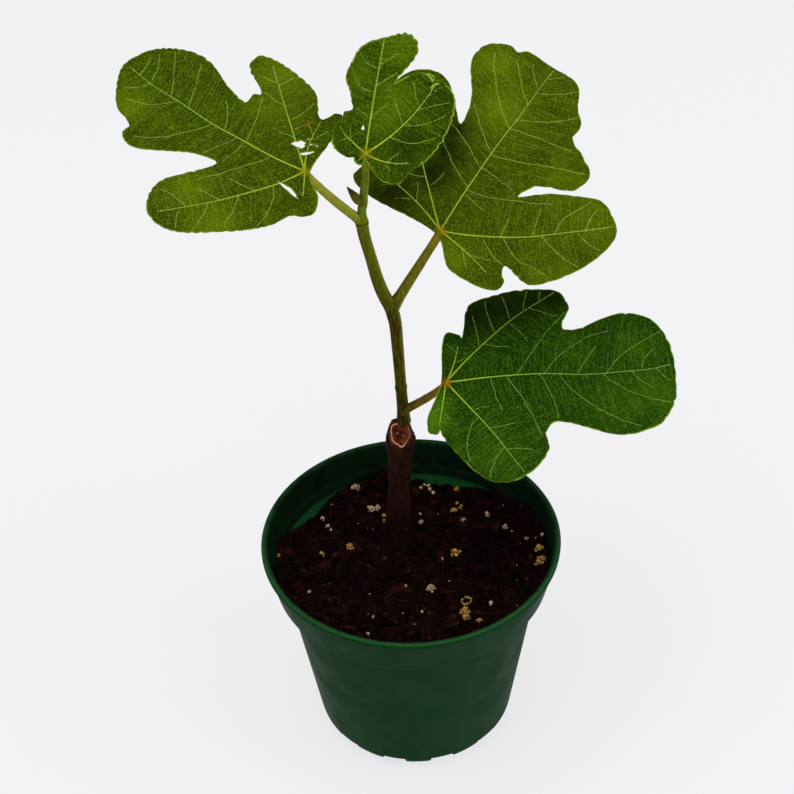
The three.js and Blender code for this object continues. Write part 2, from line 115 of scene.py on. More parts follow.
def smooth_curve(points, closed=False, steps=24):
    """Centripetal Catmull-Rom curve, cut into short straight steps."""
    p = np.array(points, float)
    if closed:
        p = np.vstack([p[-1:], p, p[:2]])
    else:
        p = np.vstack([2 * p[0] - p[1], p, 2 * p[-1] - p[-2]])
    shares = (np.arange(steps) / steps)[:, None]
    curve = []
    for a, b, c, d in zip(p[:-3], p[1:-2], p[2:-1], p[3:]):
        pairs = ((a, b), (b, c), (c, d))
        ab, bc, cd = (max(np.linalg.norm(w - v) ** 0.5, LEAST_KNOT) for v, w in pairs)
        leave = ((b - a) / ab - (c - a) / (ab + bc) + (c - b) / bc) * bc
        arrive = ((c - b) / bc - (d - b) / (bc + cd) + (d - c) / cd) * bc
        bend = (2 * b - 2 * c + leave + arrive) * shares**3
        curve.append(b + leave * shares + (3 * (c - b) - 2 * leave - arrive) * shares**2 + bend)
    if not closed:
        curve.append(p[-2][None, :])
    return np.vstack(curve)


def strides(line):
    """How long each step of a line is."""
    return np.linalg.norm(np.diff(line, axis=0), axis=1)


def way_along(line):
    """How far along a line each of its points is."""
    return np.r_[0, np.cumsum(strides(line))]


def even_steps(line, count, closed=False):
    """Points at equal distances along a line of straight steps."""
    if closed:
        line = np.vstack([line, line[:1]])
    lengths = way_along(line)
    wanted = np.linspace(0, lengths[-1], count, endpoint=not closed)
    return np.stack([np.interp(wanted, lengths, values) for values in line.T], 1)


# %% Turn points and faces into a piece
def smoothed(mesh):
    mesh.polygons.foreach_set("use_smooth", [True] * len(mesh.polygons))


def add_fact(mesh, label, values):
    values = np.asarray(values, np.float32)
    kind, field = ("FLOAT_VECTOR", "vector") if values.ndim == 2 else ("FLOAT", "value")
    mesh.attributes.new(label, kind, "POINT").data.foreach_set(field, values.ravel())


def make_mesh(name, points, faces, facts=None):
    """A smooth mesh. Points that no face uses are left out, with their facts."""
    used = sorted({corner for face in faces for corner in face})
    number = {corner: index for index, corner in enumerate(used)}
    mesh = bpy.data.meshes.new(name)
    kept = np.asarray(points, float)[used] * MM
    mesh.from_pydata(kept.tolist(), [], [[number[corner] for corner in face] for face in faces])
    for label, values in (facts or {}).items():
        add_fact(mesh, label, np.asarray(values)[used])
    smoothed(mesh)
    mesh.update()
    return mesh


def place_piece(name, mesh, finish, slot, *stands_for):
    mesh.materials.append(finish)
    piece = bpy.data.objects.new(name, mesh)
    bpy.context.scene.collection.objects.link(piece)
    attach(piece, "root")
    if stands_for:
        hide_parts(*stands_for)
    print(f"{name}: {len(mesh.vertices)} points, {len(mesh.polygons)} faces")


def build_piece(name, points, faces, facts, finish, slot, *stands_for):
    place_piece(name, make_mesh(name, points, faces, facts), finish, slot, *stands_for)


def ripple_noise(points, scale, octaves=3, seed=0.0):
    """Smooth noise from about -1 to 1 at points, with lumps `scale` millimetres across."""
    shift = Vector((seed, 2.3 * seed, -1.7 * seed))
    return np.array([noise.fractal(Vector(p) / scale + shift, 1.0, 2.0, octaves) for p in points])


# %% [markdown]
# ## A kit for finishes
# A node material is a small graph, and wiring one by hand takes many lines. This kit adds
# one node per call, and an input that is another node's output is linked. Most finishes are
# coats laid over a base colour, each with a share of its own. A value that is the same all
# over a surface goes straight on the shader's own socket.

# %% A finish and its nodes
def tone(*chart):
    """Red, green and blue as read off a painter's chart, 0 to 255, turned into light."""
    light = [((c / 255 + 0.055) / 1.055) ** 2.4 if c > 10 else c / 255 / 12.92 for c in chart]
    return (*light, 1.0)


class Finish:
    def __init__(self, name, roughness, specular=0.5):
        self.material = bpy.data.materials.new(name)
        self.material.use_nodes = True
        self.tree = self.material.node_tree
        self.tree.nodes.clear()
        self.shader = self.tree.nodes.new("ShaderNodeBsdfPrincipled")
        self.shader.inputs["Roughness"].default_value = roughness
        self.shader.inputs["Specular IOR Level"].default_value = specular
        output = self.tree.nodes.new("ShaderNodeOutputMaterial")
        self.tree.links.new(self.shader.outputs[0], output.inputs["Surface"])

    def put(self, socket, value):
        if isinstance(value, bpy.types.NodeSocket):
            self.tree.links.new(value, socket)
        else:
            socket.default_value = value

    def node(self, kind, settings=None, out=0, **inputs):
        """Adds a node. An input is given by its name, or as i0, i1 and so on by its number."""
        made = self.tree.nodes.new("ShaderNode" + kind)
        for key, value in (settings or {}).items():
            setattr(made, key, value)
        for key, value in inputs.items():
            number = key[1:]
            self.put(made.inputs[int(number) if number.isdigit() else key.replace("_", " ")], value)
        return made.outputs[out]

    def fact(self, label, vector=False):
        return self.node("Attribute", {"attribute_name": label}, out=1 if vector else 2)

    def place(self):
        return self.node("TexCoord", out=3)

    def height(self, where):
        return self.node("SeparateXYZ", out=2, Vector=where)

    def mix(self, share, first, second):
        return self.node("Mix", {"data_type": "RGBA"}, out=2, i0=share, i6=first, i7=second)

    def coats(self, base, *coats):
        """Lays coats of (share, colour) over a base colour, one after another."""
        for share, colour in coats:
            base = self.mix(share, base, colour)
        return base

    def times(self, first, second):
        return self.node("Math", {"operation": "MULTIPLY"}, i0=first, i1=second)

    def step(self, value, low, high, new_low=0.0, new_high=1.0):
        return self.node(
            "MapRange", {"interpolation_type": "SMOOTHSTEP"},
            i0=value, i1=low, i2=high, i3=new_low, i4=new_high,
        )

    def speckle(self, where, scale, detail=3.0, roughness=0.5):
        return self.node("TexNoise", Vector=where, Scale=scale, Detail=detail, Roughness=roughness)

    def colour(self, value):
        self.put(self.shader.inputs["Base Color"], value)

    def rough(self, value):
        self.put(self.shader.inputs["Roughness"], value)

    def bump(self, height, depth_mm, strength=1.0):
        bumped = self.node("Bump", Height=height, Distance=depth_mm * MM, Strength=strength)
        self.put(self.shader.inputs["Normal"], bumped)


# %% [markdown]
# ## Camera
# A long lens, a little above the leaves and tilted down at the soil, keeps the pot's mouth
# round and the leaves in their true proportions. The three axes are written out because
# the view also leans by a degree or two, which a target constraint wouldn't give.

# %% Camera
CAMERA_PLACE = Vector((0, -0.4339, 0.4969))
CAMERA_FORWARD = Vector((-0.0052, 0.7777, -0.6286)).normalized()
CAMERA_RIGHT = Vector((0.9994, -0.0177, -0.0302))
LENS, SENSOR = 77.3, 36.0
FRAME_SIDE = 794

camera = bpy.data.objects.new("camera", bpy.data.cameras.new("camera"))
bpy.context.scene.collection.objects.link(camera)
camera.data.lens = LENS
camera.data.sensor_width = SENSOR
camera.data.clip_start = 0.01
CAMERA_RIGHT = (CAMERA_RIGHT - CAMERA_RIGHT.dot(CAMERA_FORWARD) * CAMERA_FORWARD).normalized()
CAMERA_UP = CAMERA_RIGHT.cross(CAMERA_FORWARD)
turn = Matrix((CAMERA_RIGHT, CAMERA_UP, -CAMERA_FORWARD)).transposed().to_4x4()
camera.matrix_world = Matrix.Translation(CAMERA_PLACE) @ turn
bpy.context.scene.camera = camera
print("camera looks down by", round(math.degrees(math.asin(-CAMERA_FORWARD.z)), 1), "degrees")

# %% [markdown]
# ## Studio
# The plant stands on a pale sheet in an evenly lit white room. A big soft lamp overhead
# and a weaker one from the right give the leaves their form without hard shadows. The sheet
# glows a little by itself, so the shadow under the pot stays faint.

# %% Lamps
# Each lamp has a place and a size in metres, and a power in watts.
LAMPS = {"lamp_above": ((-0.35, -0.25, 1.5), 1.1, 7.0), "lamp_right": ((1.3, -0.4, 0.8), 0.8, 4.5)}
LAMP_TARGET = Vector((0, 0, 0.12))
for name, (place, size, power) in LAMPS.items():
    lamp = bpy.data.lights.new(name, "AREA")
    lamp.size = size
    lamp.energy = power
    shown = bpy.data.objects.new(name, lamp)
    bpy.context.scene.collection.objects.link(shown)
    shown.location = place
    shown.rotation_euler = (LAMP_TARGET - Vector(place)).to_track_quat("-Z", "Y").to_euler()

# %% Room and paper
# The room is drawn at full strength, but it lights the plant with less.
ROOM_LIGHT, ROOM_DRAWN = 0.70, 1.0
ROOM_WHITE = tone(241, 241, 243)
PAPER_GLOW = 0.81
FLOOR_HALF = 6.0

room = bpy.data.worlds.new("room")
bpy.context.scene.world = room
room.use_nodes = True
backdrop = room.node_tree.nodes["Background"]
backdrop.inputs["Color"].default_value = ROOM_WHITE
ray_kind = room.node_tree.nodes.new("ShaderNodeLightPath")
strength = room.node_tree.nodes.new("ShaderNodeMapRange")
strength.inputs["To Min"].default_value = ROOM_LIGHT
strength.inputs["To Max"].default_value = ROOM_DRAWN
room.node_tree.links.new(ray_kind.outputs["Is Camera Ray"], strength.inputs["Value"])
room.node_tree.links.new(strength.outputs["Result"], backdrop.inputs["Strength"])
bpy.context.scene.view_settings.view_transform = "Standard"

paper = Finish("paper", 0.9, 0.1)
grain = paper.speckle(paper.place(), 6.0)
paper.colour(paper.mix(grain, tone(122, 122, 123), tone(124, 124, 125)))
paper.shader.inputs["Emission Color"].default_value = ROOM_WHITE
paper.shader.inputs["Emission Strength"].default_value = PAPER_GLOW
bpy.ops.mesh.primitive_grid_add(x_subdivisions=4, y_subdivisions=4, size=2 * FLOOR_HALF)
floor = bpy.context.object
floor.name = "floor"
floor.data.materials.append(paper.material)
floor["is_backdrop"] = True
print("floor", floor.dimensions.x, "m wide, room light", ROOM_LIGHT)

# %% [markdown]
# ## Pot
# A nursery pot is moulded from thin plastic in one shot, so it is round about its axis:
# turning one wall profile is both how a mould is cut and the shortest way to model it.
# The corners of the profile are rounded first, because moulded edges catch a thin line of
# light. The drain slots round the foot are cut afterwards with a boolean.

# %% Pot sizes
GAP = 0.3
POT_HEIGHT = 84.0
RIM_RADIUS = 52.5
COLLAR_TOP, COLLAR_FOOT, COLLAR_HEIGHT = 51.6, 48.6, 15.8
BODY_TOP, BODY_FOOT = 44.9, 35.8
FOOT_RADIUS, FOOT_CHAMFER = 31.7, 5.4
STEP_HEIGHT, LIP_HEIGHT = 2.2, 2.5
WALL, FLOOR_THICK = 1.1, 1.6
POT_SIDES, CORNER_RADIUS = 180, 0.7
SLOT_COUNT, SLOT_WIDTH, SLOT_HEIGHT = 12, 9.2, 6.0
SLOT_TURN = 15
SLOT_REACH = (29.0, 40.0)

COLLAR_BASE = POT_HEIGHT - COLLAR_HEIGHT
WALL_TOP = COLLAR_BASE - STEP_HEIGHT
# The wall as (radius, height): out under the floor, up the outside and down the inside.
wall_profile = [
    (0, 0), (FOOT_RADIUS, 0), (FOOT_RADIUS + 1.9, 1.9), (BODY_FOOT, FOOT_CHAMFER),
    (BODY_TOP, WALL_TOP), (BODY_TOP + 1.7, WALL_TOP + 0.5), (COLLAR_FOOT, COLLAR_BASE),
    (COLLAR_TOP, POT_HEIGHT - LIP_HEIGHT), (RIM_RADIUS - 0.1, POT_HEIGHT - LIP_HEIGHT + 0.2),
    (RIM_RADIUS, POT_HEIGHT - 0.9), (RIM_RADIUS - 0.8, POT_HEIGHT),
    (RIM_RADIUS - 1.7, POT_HEIGHT - 0.1), (COLLAR_TOP - WALL - 0.5, POT_HEIGHT - 1.6),
    (COLLAR_FOOT + 1.3 - WALL, COLLAR_BASE + 5.6), (COLLAR_FOOT + 0.7 - WALL, COLLAR_BASE + 5.2),
    (COLLAR_FOOT - WALL, COLLAR_BASE + 1.4), (COLLAR_FOOT - 2.4, COLLAR_BASE + 0.2),
    (BODY_TOP - WALL, COLLAR_BASE - 0.9), (BODY_FOOT - WALL, FOOT_CHAMFER + 0.4),
    (FOOT_RADIUS - 0.9, FLOOR_THICK), (0, FLOOR_THICK),
]


# %% Round a profile's corners and turn it
MOST_ROUNDING = 0.45


def rounded(profile, radius, cuts=4):
    """Swaps each inner corner for a short curve that starts `radius` before it."""
    p = np.array(profile, float)
    line = [p[0]]
    for before, corner, after in zip(p[:-2], p[1:-1], p[2:]):
        back, on = before - corner, after - corner
        lengths = np.linalg.norm(back), np.linalg.norm(on)
        reach = min(radius, *(MOST_ROUNDING * length for length in lengths))
        start, end = (corner + way / length * reach for way, length in zip((back, on), lengths))
        for share in np.linspace(0, 1, cuts + 1):
            line.append((1 - share) ** 2 * start + 2 * share * (1 - share) * corner + share**2 * end)
    line.append(p[-1])
    return np.array(line)


def ring_faces(rings, sides):
    """Faces over rings of points, with a fan at each end to one of the two points after them."""
    faces = []
    for ring in range(rings - 1):
        for at in range(sides):
            a, b = ring * sides + at, ring * sides + (at + 1) % sides
            faces.append((a, b, b + sides, a + sides))
    tip, last = rings * sides, (rings - 1) * sides
    for at in range(sides):
        beside = (at + 1) % sides
        faces.append((tip, beside, at))
        faces.append((tip + 1, last + at, last + beside))
    return faces


def turned(profile, sides):
    """Turns a closed profile, which starts and ends on the axis, about that axis."""
    inner = profile[1:-1]
    angles = ring_angles(sides)
    x, y = inner[:, :1] * np.cos(angles), inner[:, :1] * np.sin(angles)
    points = np.stack([x, y, np.repeat(inner[:, 1:], sides, 1)], 2).reshape(-1, 3)
    ends = [[0, 0, profile[0][1]], [0, 0, profile[-1][1]]]
    return np.vstack([points, ends]), ring_faces(len(inner), sides)


pot_shell = turned(rounded(wall_profile, CORNER_RADIUS), POT_SIDES)
print("pot shell:", len(pot_shell[0]), "points round", POT_SIDES, "sides")

# %% [markdown]
# ## Pot plastic
# Bottle-green plastic is nearly even in colour, with a soft gloss. What makes it real is
# small: faint rings left by the mould's turning, a lip that takes more light, dust that
# settles low on the body, and smears of dried soil inside the collar. Light and shade are
# painted on too: a painted highlight along the lip, inside and out, and painted shade on
# the inner wall above the soil.

# %% Green moulded plastic
# A shader reads places in metres, so the heights here are in metres too.
plastic = Finish("green_plastic", 0.45, 0.015)
where = plastic.place()
height = plastic.height(where)
smears = plastic.step(plastic.speckle(where, 140.0, 5.0, 0.65), 0.5, 0.66, 0.0, 0.7)
inner_wall = plastic.coats(
    tone(22, 74, 38),
    # Painted shade: the inner wall is darker from about 70 mm up, above the soil.
    (plastic.step(height, 0.0698, 0.0708), tone(12, 33, 17)),
    # Painted highlight: a lighter band at the top of the inner wall.
    (plastic.step(height, 0.0828, 0.0838), tone(26, 62, 32)),
    (smears, tone(13, 16, 9)),
)
dust_spots = plastic.step(plastic.speckle(where, 260.0, 5.0, 0.65), 0.55, 0.72)
near_foot = plastic.step(height, 0.045, 0.0, 0.03, 0.09)
specks = plastic.step(plastic.speckle(where, 520.0, 2.0), 0.7, 0.74)
on_collar = plastic.step(height, 0.066, 0.082, 0.1, 0.7)
plastic.colour(plastic.coats(
    tone(16, 50, 26),
    (plastic.speckle(where, 35.0, 2.0), tone(21, 57, 30)),
    # Painted highlight: a lighter band along the lip.
    (plastic.step(height, 0.0831, 0.0838), tone(34, 82, 42)),
    (plastic.fact("inside"), inner_wall),
    (plastic.times(dust_spots, near_foot), tone(88, 100, 78)),
    (plastic.times(specks, on_collar), tone(40, 30, 16)),
))
plastic.rough(plastic.step(plastic.speckle(where, 90.0, 4.0), 0.3, 0.7, 0.44, 0.6))
bands = {"wave_type": "BANDS", "bands_direction": "Z"}
rings = plastic.node("TexWave", bands, Vector=where, Scale=160.0, Distortion=1.5)
plastic.bump(plastic.mix(0.25, rings, plastic.speckle(where, 900.0, 2.0)), 0.03, 0.5)

# %% Cut one body with another
MERGE_REACH = 1e-6


def combined(name, body, tool, how, sharp):
    """Cuts a body with a tool, or keeps what they share. Corners over `sharp` degrees stay hard."""
    pair = []
    for points, faces in (body, tool):
        thing = bpy.data.objects.new("to_combine", make_mesh("to_combine", points, faces))
        bpy.context.scene.collection.objects.link(thing)
        pair.append(thing)
    cut = pair[0].modifiers.new("cut", "BOOLEAN")
    cut.operation, cut.solver, cut.object = how, "EXACT", pair[1]
    graph = bpy.context.evaluated_depsgraph_get()
    mesh = bpy.data.meshes.new_from_object(pair[0].evaluated_get(graph))
    for thing in pair:
        bpy.data.objects.remove(thing)
    # A cut can leave two points at one spot, and so a slit there: they are merged.
    built = bmesh.new()
    built.from_mesh(mesh)
    bmesh.ops.remove_doubles(built, verts=built.verts, dist=MERGE_REACH)
    built.to_mesh(mesh)
    built.free()
    mesh.name = name
    smoothed(mesh)
    mesh.set_sharp_from_angle(angle=math.radians(sharp))
    mesh.materials.clear()
    return mesh


# %% Cut the drain slots and place the pot
CUBE_FACES = [(0, 1, 3, 2), (4, 6, 7, 5), (0, 4, 5, 1), (2, 3, 7, 6), (0, 2, 6, 4), (1, 5, 7, 3)]
slot_points, slot_faces = [], []
for index in range(SLOT_COUNT):
    out, aside = (polar(360 * index / SLOT_COUNT + SLOT_TURN + quarter, 1) for quarter in (0, 90))
    for x in SLOT_REACH:
        for y in (-SLOT_WIDTH / 2, SLOT_WIDTH / 2):
            slot_points += [(*(x * out + y * aside), z) for z in (-SLOT_HEIGHT, SLOT_HEIGHT)]
    slot_faces += [[8 * index + corner for corner in face] for face in CUBE_FACES]
pot_mesh = combined("pot_shell", pot_shell, (slot_points, slot_faces), "DIFFERENCE", 38)

# The middle of the wall, as (height, radius), tells its inside from its outside.
WALL_MIDDLE = [(0, 32.4), (WALL_TOP, 44.3), (COLLAR_BASE, 47.9), (POT_HEIGHT, 51.6)]
corners = np.array([v.co for v in pot_mesh.vertices]) / MM
inward = np.hypot(corners[:, 0], corners[:, 1]) < stations(WALL_MIDDLE, corners[:, 2])
add_fact(pot_mesh, "inside", inward & (corners[:, 2] > FLOOR_THICK - 0.1))
place_piece("pot_shell", pot_mesh, plastic.material, "pot", "pot")

# %% [markdown]
# ## Soil
# Potting mix is a surface with things lying in it. The surface itself is one turned solid
# whose top follows the same lumps and mound as the CAD soil, with finer crumbs added by
# noise. Crumbs, root fibres, perlite and feed grains are then separate little bodies, each
# sunk partly into that surface, so they hold up in a close view and from every side.

# %% Height of the soil
SOIL_LEVEL = 68.0
SOIL_REACH = 51.0
# The bank against the wall: (degrees round from +X, its height there).
SOIL_BANK = [
    (-180, 74.3), (-90, 72.6), (0, 75.2), (30, 74.3), (40, 72.4), (52, 70.3), (66, 68.6),
    (88, 68.2), (150, 68), (158, 70.5), (168, 74.2), (180, 74.3),
]
BANK_START, BANK_END = 30.0, 48.0
MOUND_X, MOUND_Y, MOUND_HEIGHT, MOUND_SPREAD = -19.0, 34.0, 4.2, 9.0
SOIL_BUMP = 0.8
TRUNK_FOOT = (-5.1, 14.3)
TRUNK_PATCH = 8.0


def bank_height(x, y):
    turns, heights = zip(*SOIL_BANK)
    return np.interp(np.degrees(np.arctan2(y, x)), turns, heights)


def soil_height(x, y):
    """The soil's top: low waves, a mound behind the trunk and a bank against the wall."""
    waves = np.sin(0.31 * x + 1.3) * np.cos(0.27 * y) + 0.6 * np.sin(0.53 * x - 0.44 * y)
    mound = MOUND_HEIGHT * hill(np.hypot(x - MOUND_X, y - MOUND_Y), MOUND_SPREAD)
    loose = soft_step(TRUNK_PATCH, 2 * TRUNK_PATCH, np.hypot(x - TRUNK_FOOT[0], y - TRUNK_FOOT[1]))
    outward = np.clip((np.hypot(x, y) - BANK_START) / (BANK_END - BANK_START), 0, 1)
    bank = (bank_height(x, y) - SOIL_LEVEL) * outward**2
    return SOIL_LEVEL + loose * (SOIL_BUMP * waves + mound + bank)


# %% Fill the pot's room with soil
SOIL_RINGS, SOIL_SIDES = 96, 200
SHELF_GAP = 0.35
# Crumbs of two sizes: how high, how wide, octaves of noise, seed.
BIG_CRUMBS, SMALL_CRUMBS = (0.55, 2.6, 4, 3.1), (0.35, 1.1, 2, 7.7)

surface = [(SOIL_REACH * share, SOIL_LEVEL) for share in np.linspace(1, 0, SOIL_RINGS)]
soil_points, soil_faces = turned(np.array([(0, 0), (SOIL_REACH, 0), *surface]), SOIL_SIDES)
on_top = np.abs(soil_points[:, 2] - SOIL_LEVEL) < TINY
top = soil_points[on_top] * (1, 1, 0)
big, small = (high * ripple_noise(top, *kind) for high, *kind in (BIG_CRUMBS, SMALL_CRUMBS))
soil_points[on_top, 2] = soil_height(top[:, 0], top[:, 1]) + big + np.abs(small)
room_profile = np.array([
    (0, FLOOR_THICK + GAP), (FOOT_RADIUS - 0.9 - GAP, FLOOR_THICK + GAP),
    (BODY_FOOT - WALL - GAP, FOOT_CHAMFER + 0.4),
    (BODY_TOP - WALL - GAP, COLLAR_BASE - 0.9 + SHELF_GAP),
    (COLLAR_FOOT - 2.4 - GAP, COLLAR_BASE + 0.2 + SHELF_GAP),
    (COLLAR_FOOT - WALL - SHELF_GAP, COLLAR_BASE + 1.4 + SHELF_GAP),
    (COLLAR_TOP - WALL - 0.5 - SHELF_GAP, POT_HEIGHT - 1.6), (0, POT_HEIGHT - 1.6),
])
room_in_pot = turned(room_profile, SOIL_SIDES)
soil_mesh = combined("soil_bed", (soil_points, soil_faces), room_in_pot, "INTERSECT", 60)

# %% Soil colour
peat = Finish("peat", 0.95, 0.02)
where = peat.place()
peat.colour(peat.coats(
    tone(6, 2, 2),
    (peat.speckle(where, 420.0, 6.0, 0.7), tone(30, 13, 10)),
    (peat.step(peat.speckle(where, 230.0, 3.0), 0.54, 0.74), tone(48, 21, 14)),
))
peat.bump(peat.speckle(where, 900.0, 6.0, 0.7), 0.5, 0.8)
place_piece("soil_bed", soil_mesh, peat.material, "soil", "soil")

# %% [markdown]
# ## What lies in the soil
# Small lumps are made once as a few pebble shapes and then scattered by a seeded chance,
# so the same soil comes back every time. Joining each kind into one mesh keeps the scene
# light. A fact called `pick` gives each lump its own shade.

# %% Scatter tools
chance = random.Random(41)
TRUNK_CLEAR = 6.3
# The wall's inside, as (height, radius).
WALL_INSIDE = [(68.0, 45.4), (70.0, 47.2), (75.0, 48.4)]


def pebbles(count, rough, flat, seed, cuts=1):
    """A few irregular closed lumps of about 1 mm across, as point arrays with shared faces."""
    ball = bmesh.new()
    bmesh.ops.create_icosphere(ball, subdivisions=cuts, radius=0.5)
    round_lump = np.array([v.co for v in ball.verts])
    faces = [[v.index for v in face.verts] for face in ball.faces]
    ball.free()
    shapes = []
    for index in range(count):
        swell = 1 + rough * ripple_noise(round_lump * 2.2, 1.0, 3, seed + 5.1 * index)[:, None]
        stretch = np.array([1.0, 0.6 + 0.4 * ((index * 7) % 5) / 4, flat])
        shapes.append(round_lump * swell * stretch)
    return shapes, faces


def random_turn():
    turn, x, y, z = (chance.uniform(*ends) for ends in ((0, 6.28), (-1, 1), (-1, 1), (0.2, 1)))
    return np.array(Matrix.Rotation(turn, 3, Vector((x, y, z)).normalized()))


def lumps(spots, kinds, sunk):
    """A lump for each (x, y, size), sunk into the soil by `sunk` of its size."""
    shapes, faces = kinds
    for index, (x, y, size) in enumerate(spots):
        shape = shapes[index % len(shapes)] @ random_turn().T * size
        yield shape + (x, y, float(soil_height(x, y)) + size * (0.5 - sunk)), faces


def scatter(name, bodies, finish):
    """Joins many small bodies into one piece, and draws a shade for each as it comes."""
    points, faces, picks = [], [], []
    for made, its_faces in bodies:
        faces += [[len(picks) + corner for corner in face] for face in its_faces]
        picks += [chance.random()] * len(made)
        points.append(made)
    build_piece(name, np.vstack(points), faces, {"pick": picks}, finish.material, "soil")


def soil_reach(x, y):
    """How far out the soil goes in the direction of a place."""
    return float(stations(WALL_INSIDE, bank_height(x, y)))


def soil_spot(inset=1.5):
    while True:
        x, y = chance.uniform(-BANK_END, BANK_END), chance.uniform(-BANK_END, BANK_END)
        clear_of_trunk = math.hypot(x - TRUNK_FOOT[0], y - TRUNK_FOOT[1]) > TRUNK_CLEAR
        if math.hypot(x, y) < soil_reach(x, y) - inset and clear_of_trunk:
            return x, y


def strewn(count, least, most):
    """Spots anywhere on the soil, each with a size between two ends."""
    return [(*soil_spot(), chance.uniform(least, most)) for _ in range(count)]


# %% Crumbs of peat and bark
CRUMBS, CRUMB_SIZES = 1500, (0.7, 0.9, 1.1, 1.5, 2.1, 2.8)
crumb = Finish("crumb", 0.95, 0.02)
shade = crumb.fact("pick")
tint = crumb.coats(
    tone(8, 3, 3), (shade, tone(38, 18, 13)), (crumb.step(shade, 0.95, 0.98), tone(74, 46, 32)),
)
crumb.colour(crumb.mix(crumb.speckle(crumb.place(), 800.0, 4.0), tone(6, 2, 2), tint))
crumb.bump(crumb.speckle(crumb.place(), 1500.0, 4.0, 0.7), 0.2, 0.7)
spots = [(*soil_spot(), chance.choice(CRUMB_SIZES)) for _ in range(CRUMBS)]
scatter("soil_crumbs", lumps(spots, pebbles(6, 0.75, 0.7, 2.0), 0.25), crumb)

# %% Clods against the back wall
# Each clod: how far right, how far back, how wide.
CLODS = [
    (-13.6, 42.2, 5.6), (-10.2, 43.2, 7.6), (-6.4, 43.6, 7.2), (-15.8, 40.2, 4.6),
    (-2.6, 43.8, 6.4), (-11.5, 39.6, 5.0),
]
scatter("soil_clods", lumps(CLODS, pebbles(3, 0.55, 0.85, 23.0, 4), 0.1), crumb)

# %% [markdown]
# ## Fibres
# Coir and root hairs lie over the crumbs in loose reddish-brown curls. Each is a thin
# four-sided tube along a bent line that stays just above the soil. The same tube, with
# many more sides and a relief, makes the trunk, the shoot and the stalks later on.

# %% Tubes along a line
def tube(line, radii, sides, relief=0.0):
    """A closed tube: one ring per point of the line, and a cap at each end."""
    line = np.asarray(line, float)
    ahead = unit(np.gradient(line, axis=0))
    side = unit(np.array([1.0, 0, 0]) - ahead * ahead[:, :1])
    front = np.cross(side, ahead)
    radius = np.asarray(radii, float)[:, None] * np.ones(sides) + relief
    across = (radius * np.sin(ring_angles(sides)))[:, :, None] * side[:, None, :]
    forth = (radius * np.cos(ring_angles(sides)))[:, :, None] * front[:, None, :]
    points = (line[:, None, :] + across + forth).reshape(-1, 3)
    return np.vstack([points, line[:1], line[-1:]]), ring_faces(len(line), sides)


# %% Scatter the fibres
FIBRES, FIBRE_BENDS, FIBRE_STEP = 240, 8, 0.9
FIBRE_RADIUS, FIBRE_LIFT, FIBRE_ARCH = 0.1, 0.25, 0.5
FIBRE_CLEAR, FIBRE_RETREAT = 0.8, 0.97


def fibres():
    for _ in range(FIBRES):
        x, y = soil_spot(4.0)
        heading, curl = chance.uniform(0, 6.28), chance.uniform(-0.55, 0.55)
        line = []
        for step in range(FIBRE_BENDS + 1):
            lift = FIBRE_LIFT + FIBRE_ARCH * math.sin(step / FIBRE_BENDS * math.pi)
            line.append((x, y, float(soil_height(x, y)) + lift))
            heading += curl
            x, y = x + FIBRE_STEP * math.cos(heading), y + FIBRE_STEP * math.sin(heading)
            if math.hypot(x, y) > soil_reach(x, y) - FIBRE_CLEAR:
                x, y = line[-1][0] * FIBRE_RETREAT, line[-1][1] * FIBRE_RETREAT
        yield tube(line, FIBRE_RADIUS * np.linspace(1.1, 0.5, len(line)), 4)


fibre = Finish("fibre", 0.9, 0.03)
fibre.colour(fibre.mix(fibre.fact("pick"), tone(18, 8, 6), tone(72, 36, 24)))
scatter("soil_fibres", fibres(), fibre)

# %% [markdown]
# ## Perlite and feed grains
# Perlite is a popped white mineral, soft cornered and full of pits. Feed grains are round
# yellow beads. The larger ones lie where the camera sees them best, and their places are
# given across and down the 794-step frame; a ray from the camera finds the soil there. One
# feed granule has burst and left a ring of crumbs. Smaller grains are strewn over the whole
# surface, so the top view is as full.

# %% Where a ray through the frame meets the soil
SMALL_GRAIN = 1.7
CORE_SHARE, LUMPS_ROUND, LUMP_TURN = 0.78, 5, 1.26
LUMP_OUT, LUMP_SHUFFLE, LUMP_SIZES = 0.34, 0.5, (0.32, 0.5)
AIM_ROUNDS = 8


def under_frame(across, down):
    """Follows a ray down to the soil, and corrects for the soil's height a few times."""
    reach = SENSOR / LENS
    ray = CAMERA_FORWARD + CAMERA_RIGHT * ((across / FRAME_SIDE - 0.5) * reach)
    ray = ray + CAMERA_UP * ((0.5 - down / FRAME_SIDE) * reach)
    level = SOIL_LEVEL
    for _ in range(AIM_ROUNDS):
        share = (level * MM - CAMERA_PLACE.z) / ray.z
        spot = (CAMERA_PLACE + ray * share) / MM
        level = float(soil_height(spot.x, spot.y))
    inside = min(1, (soil_reach(spot.x, spot.y) - 1) / math.hypot(spot.x, spot.y))
    return spot.x * inside, spot.y * inside


def clumped(seen):
    """Builds each seen grain (across, down, width) of a core with smaller lumps round it."""
    spots = []
    for across, down, width in seen:
        x, y = under_frame(across, down)
        if width < SMALL_GRAIN:
            spots.append((x, y, width))
            continue
        spots.append((x, y, CORE_SHARE * width))
        for index in range(LUMPS_ROUND):
            turn = LUMP_TURN * index + chance.uniform(-LUMP_SHUFFLE, LUMP_SHUFFLE)
            out = LUMP_OUT * width
            size = width * chance.uniform(*LUMP_SIZES)
            spots.append((x + out * math.cos(turn), y + out * math.sin(turn), size))
    return spots


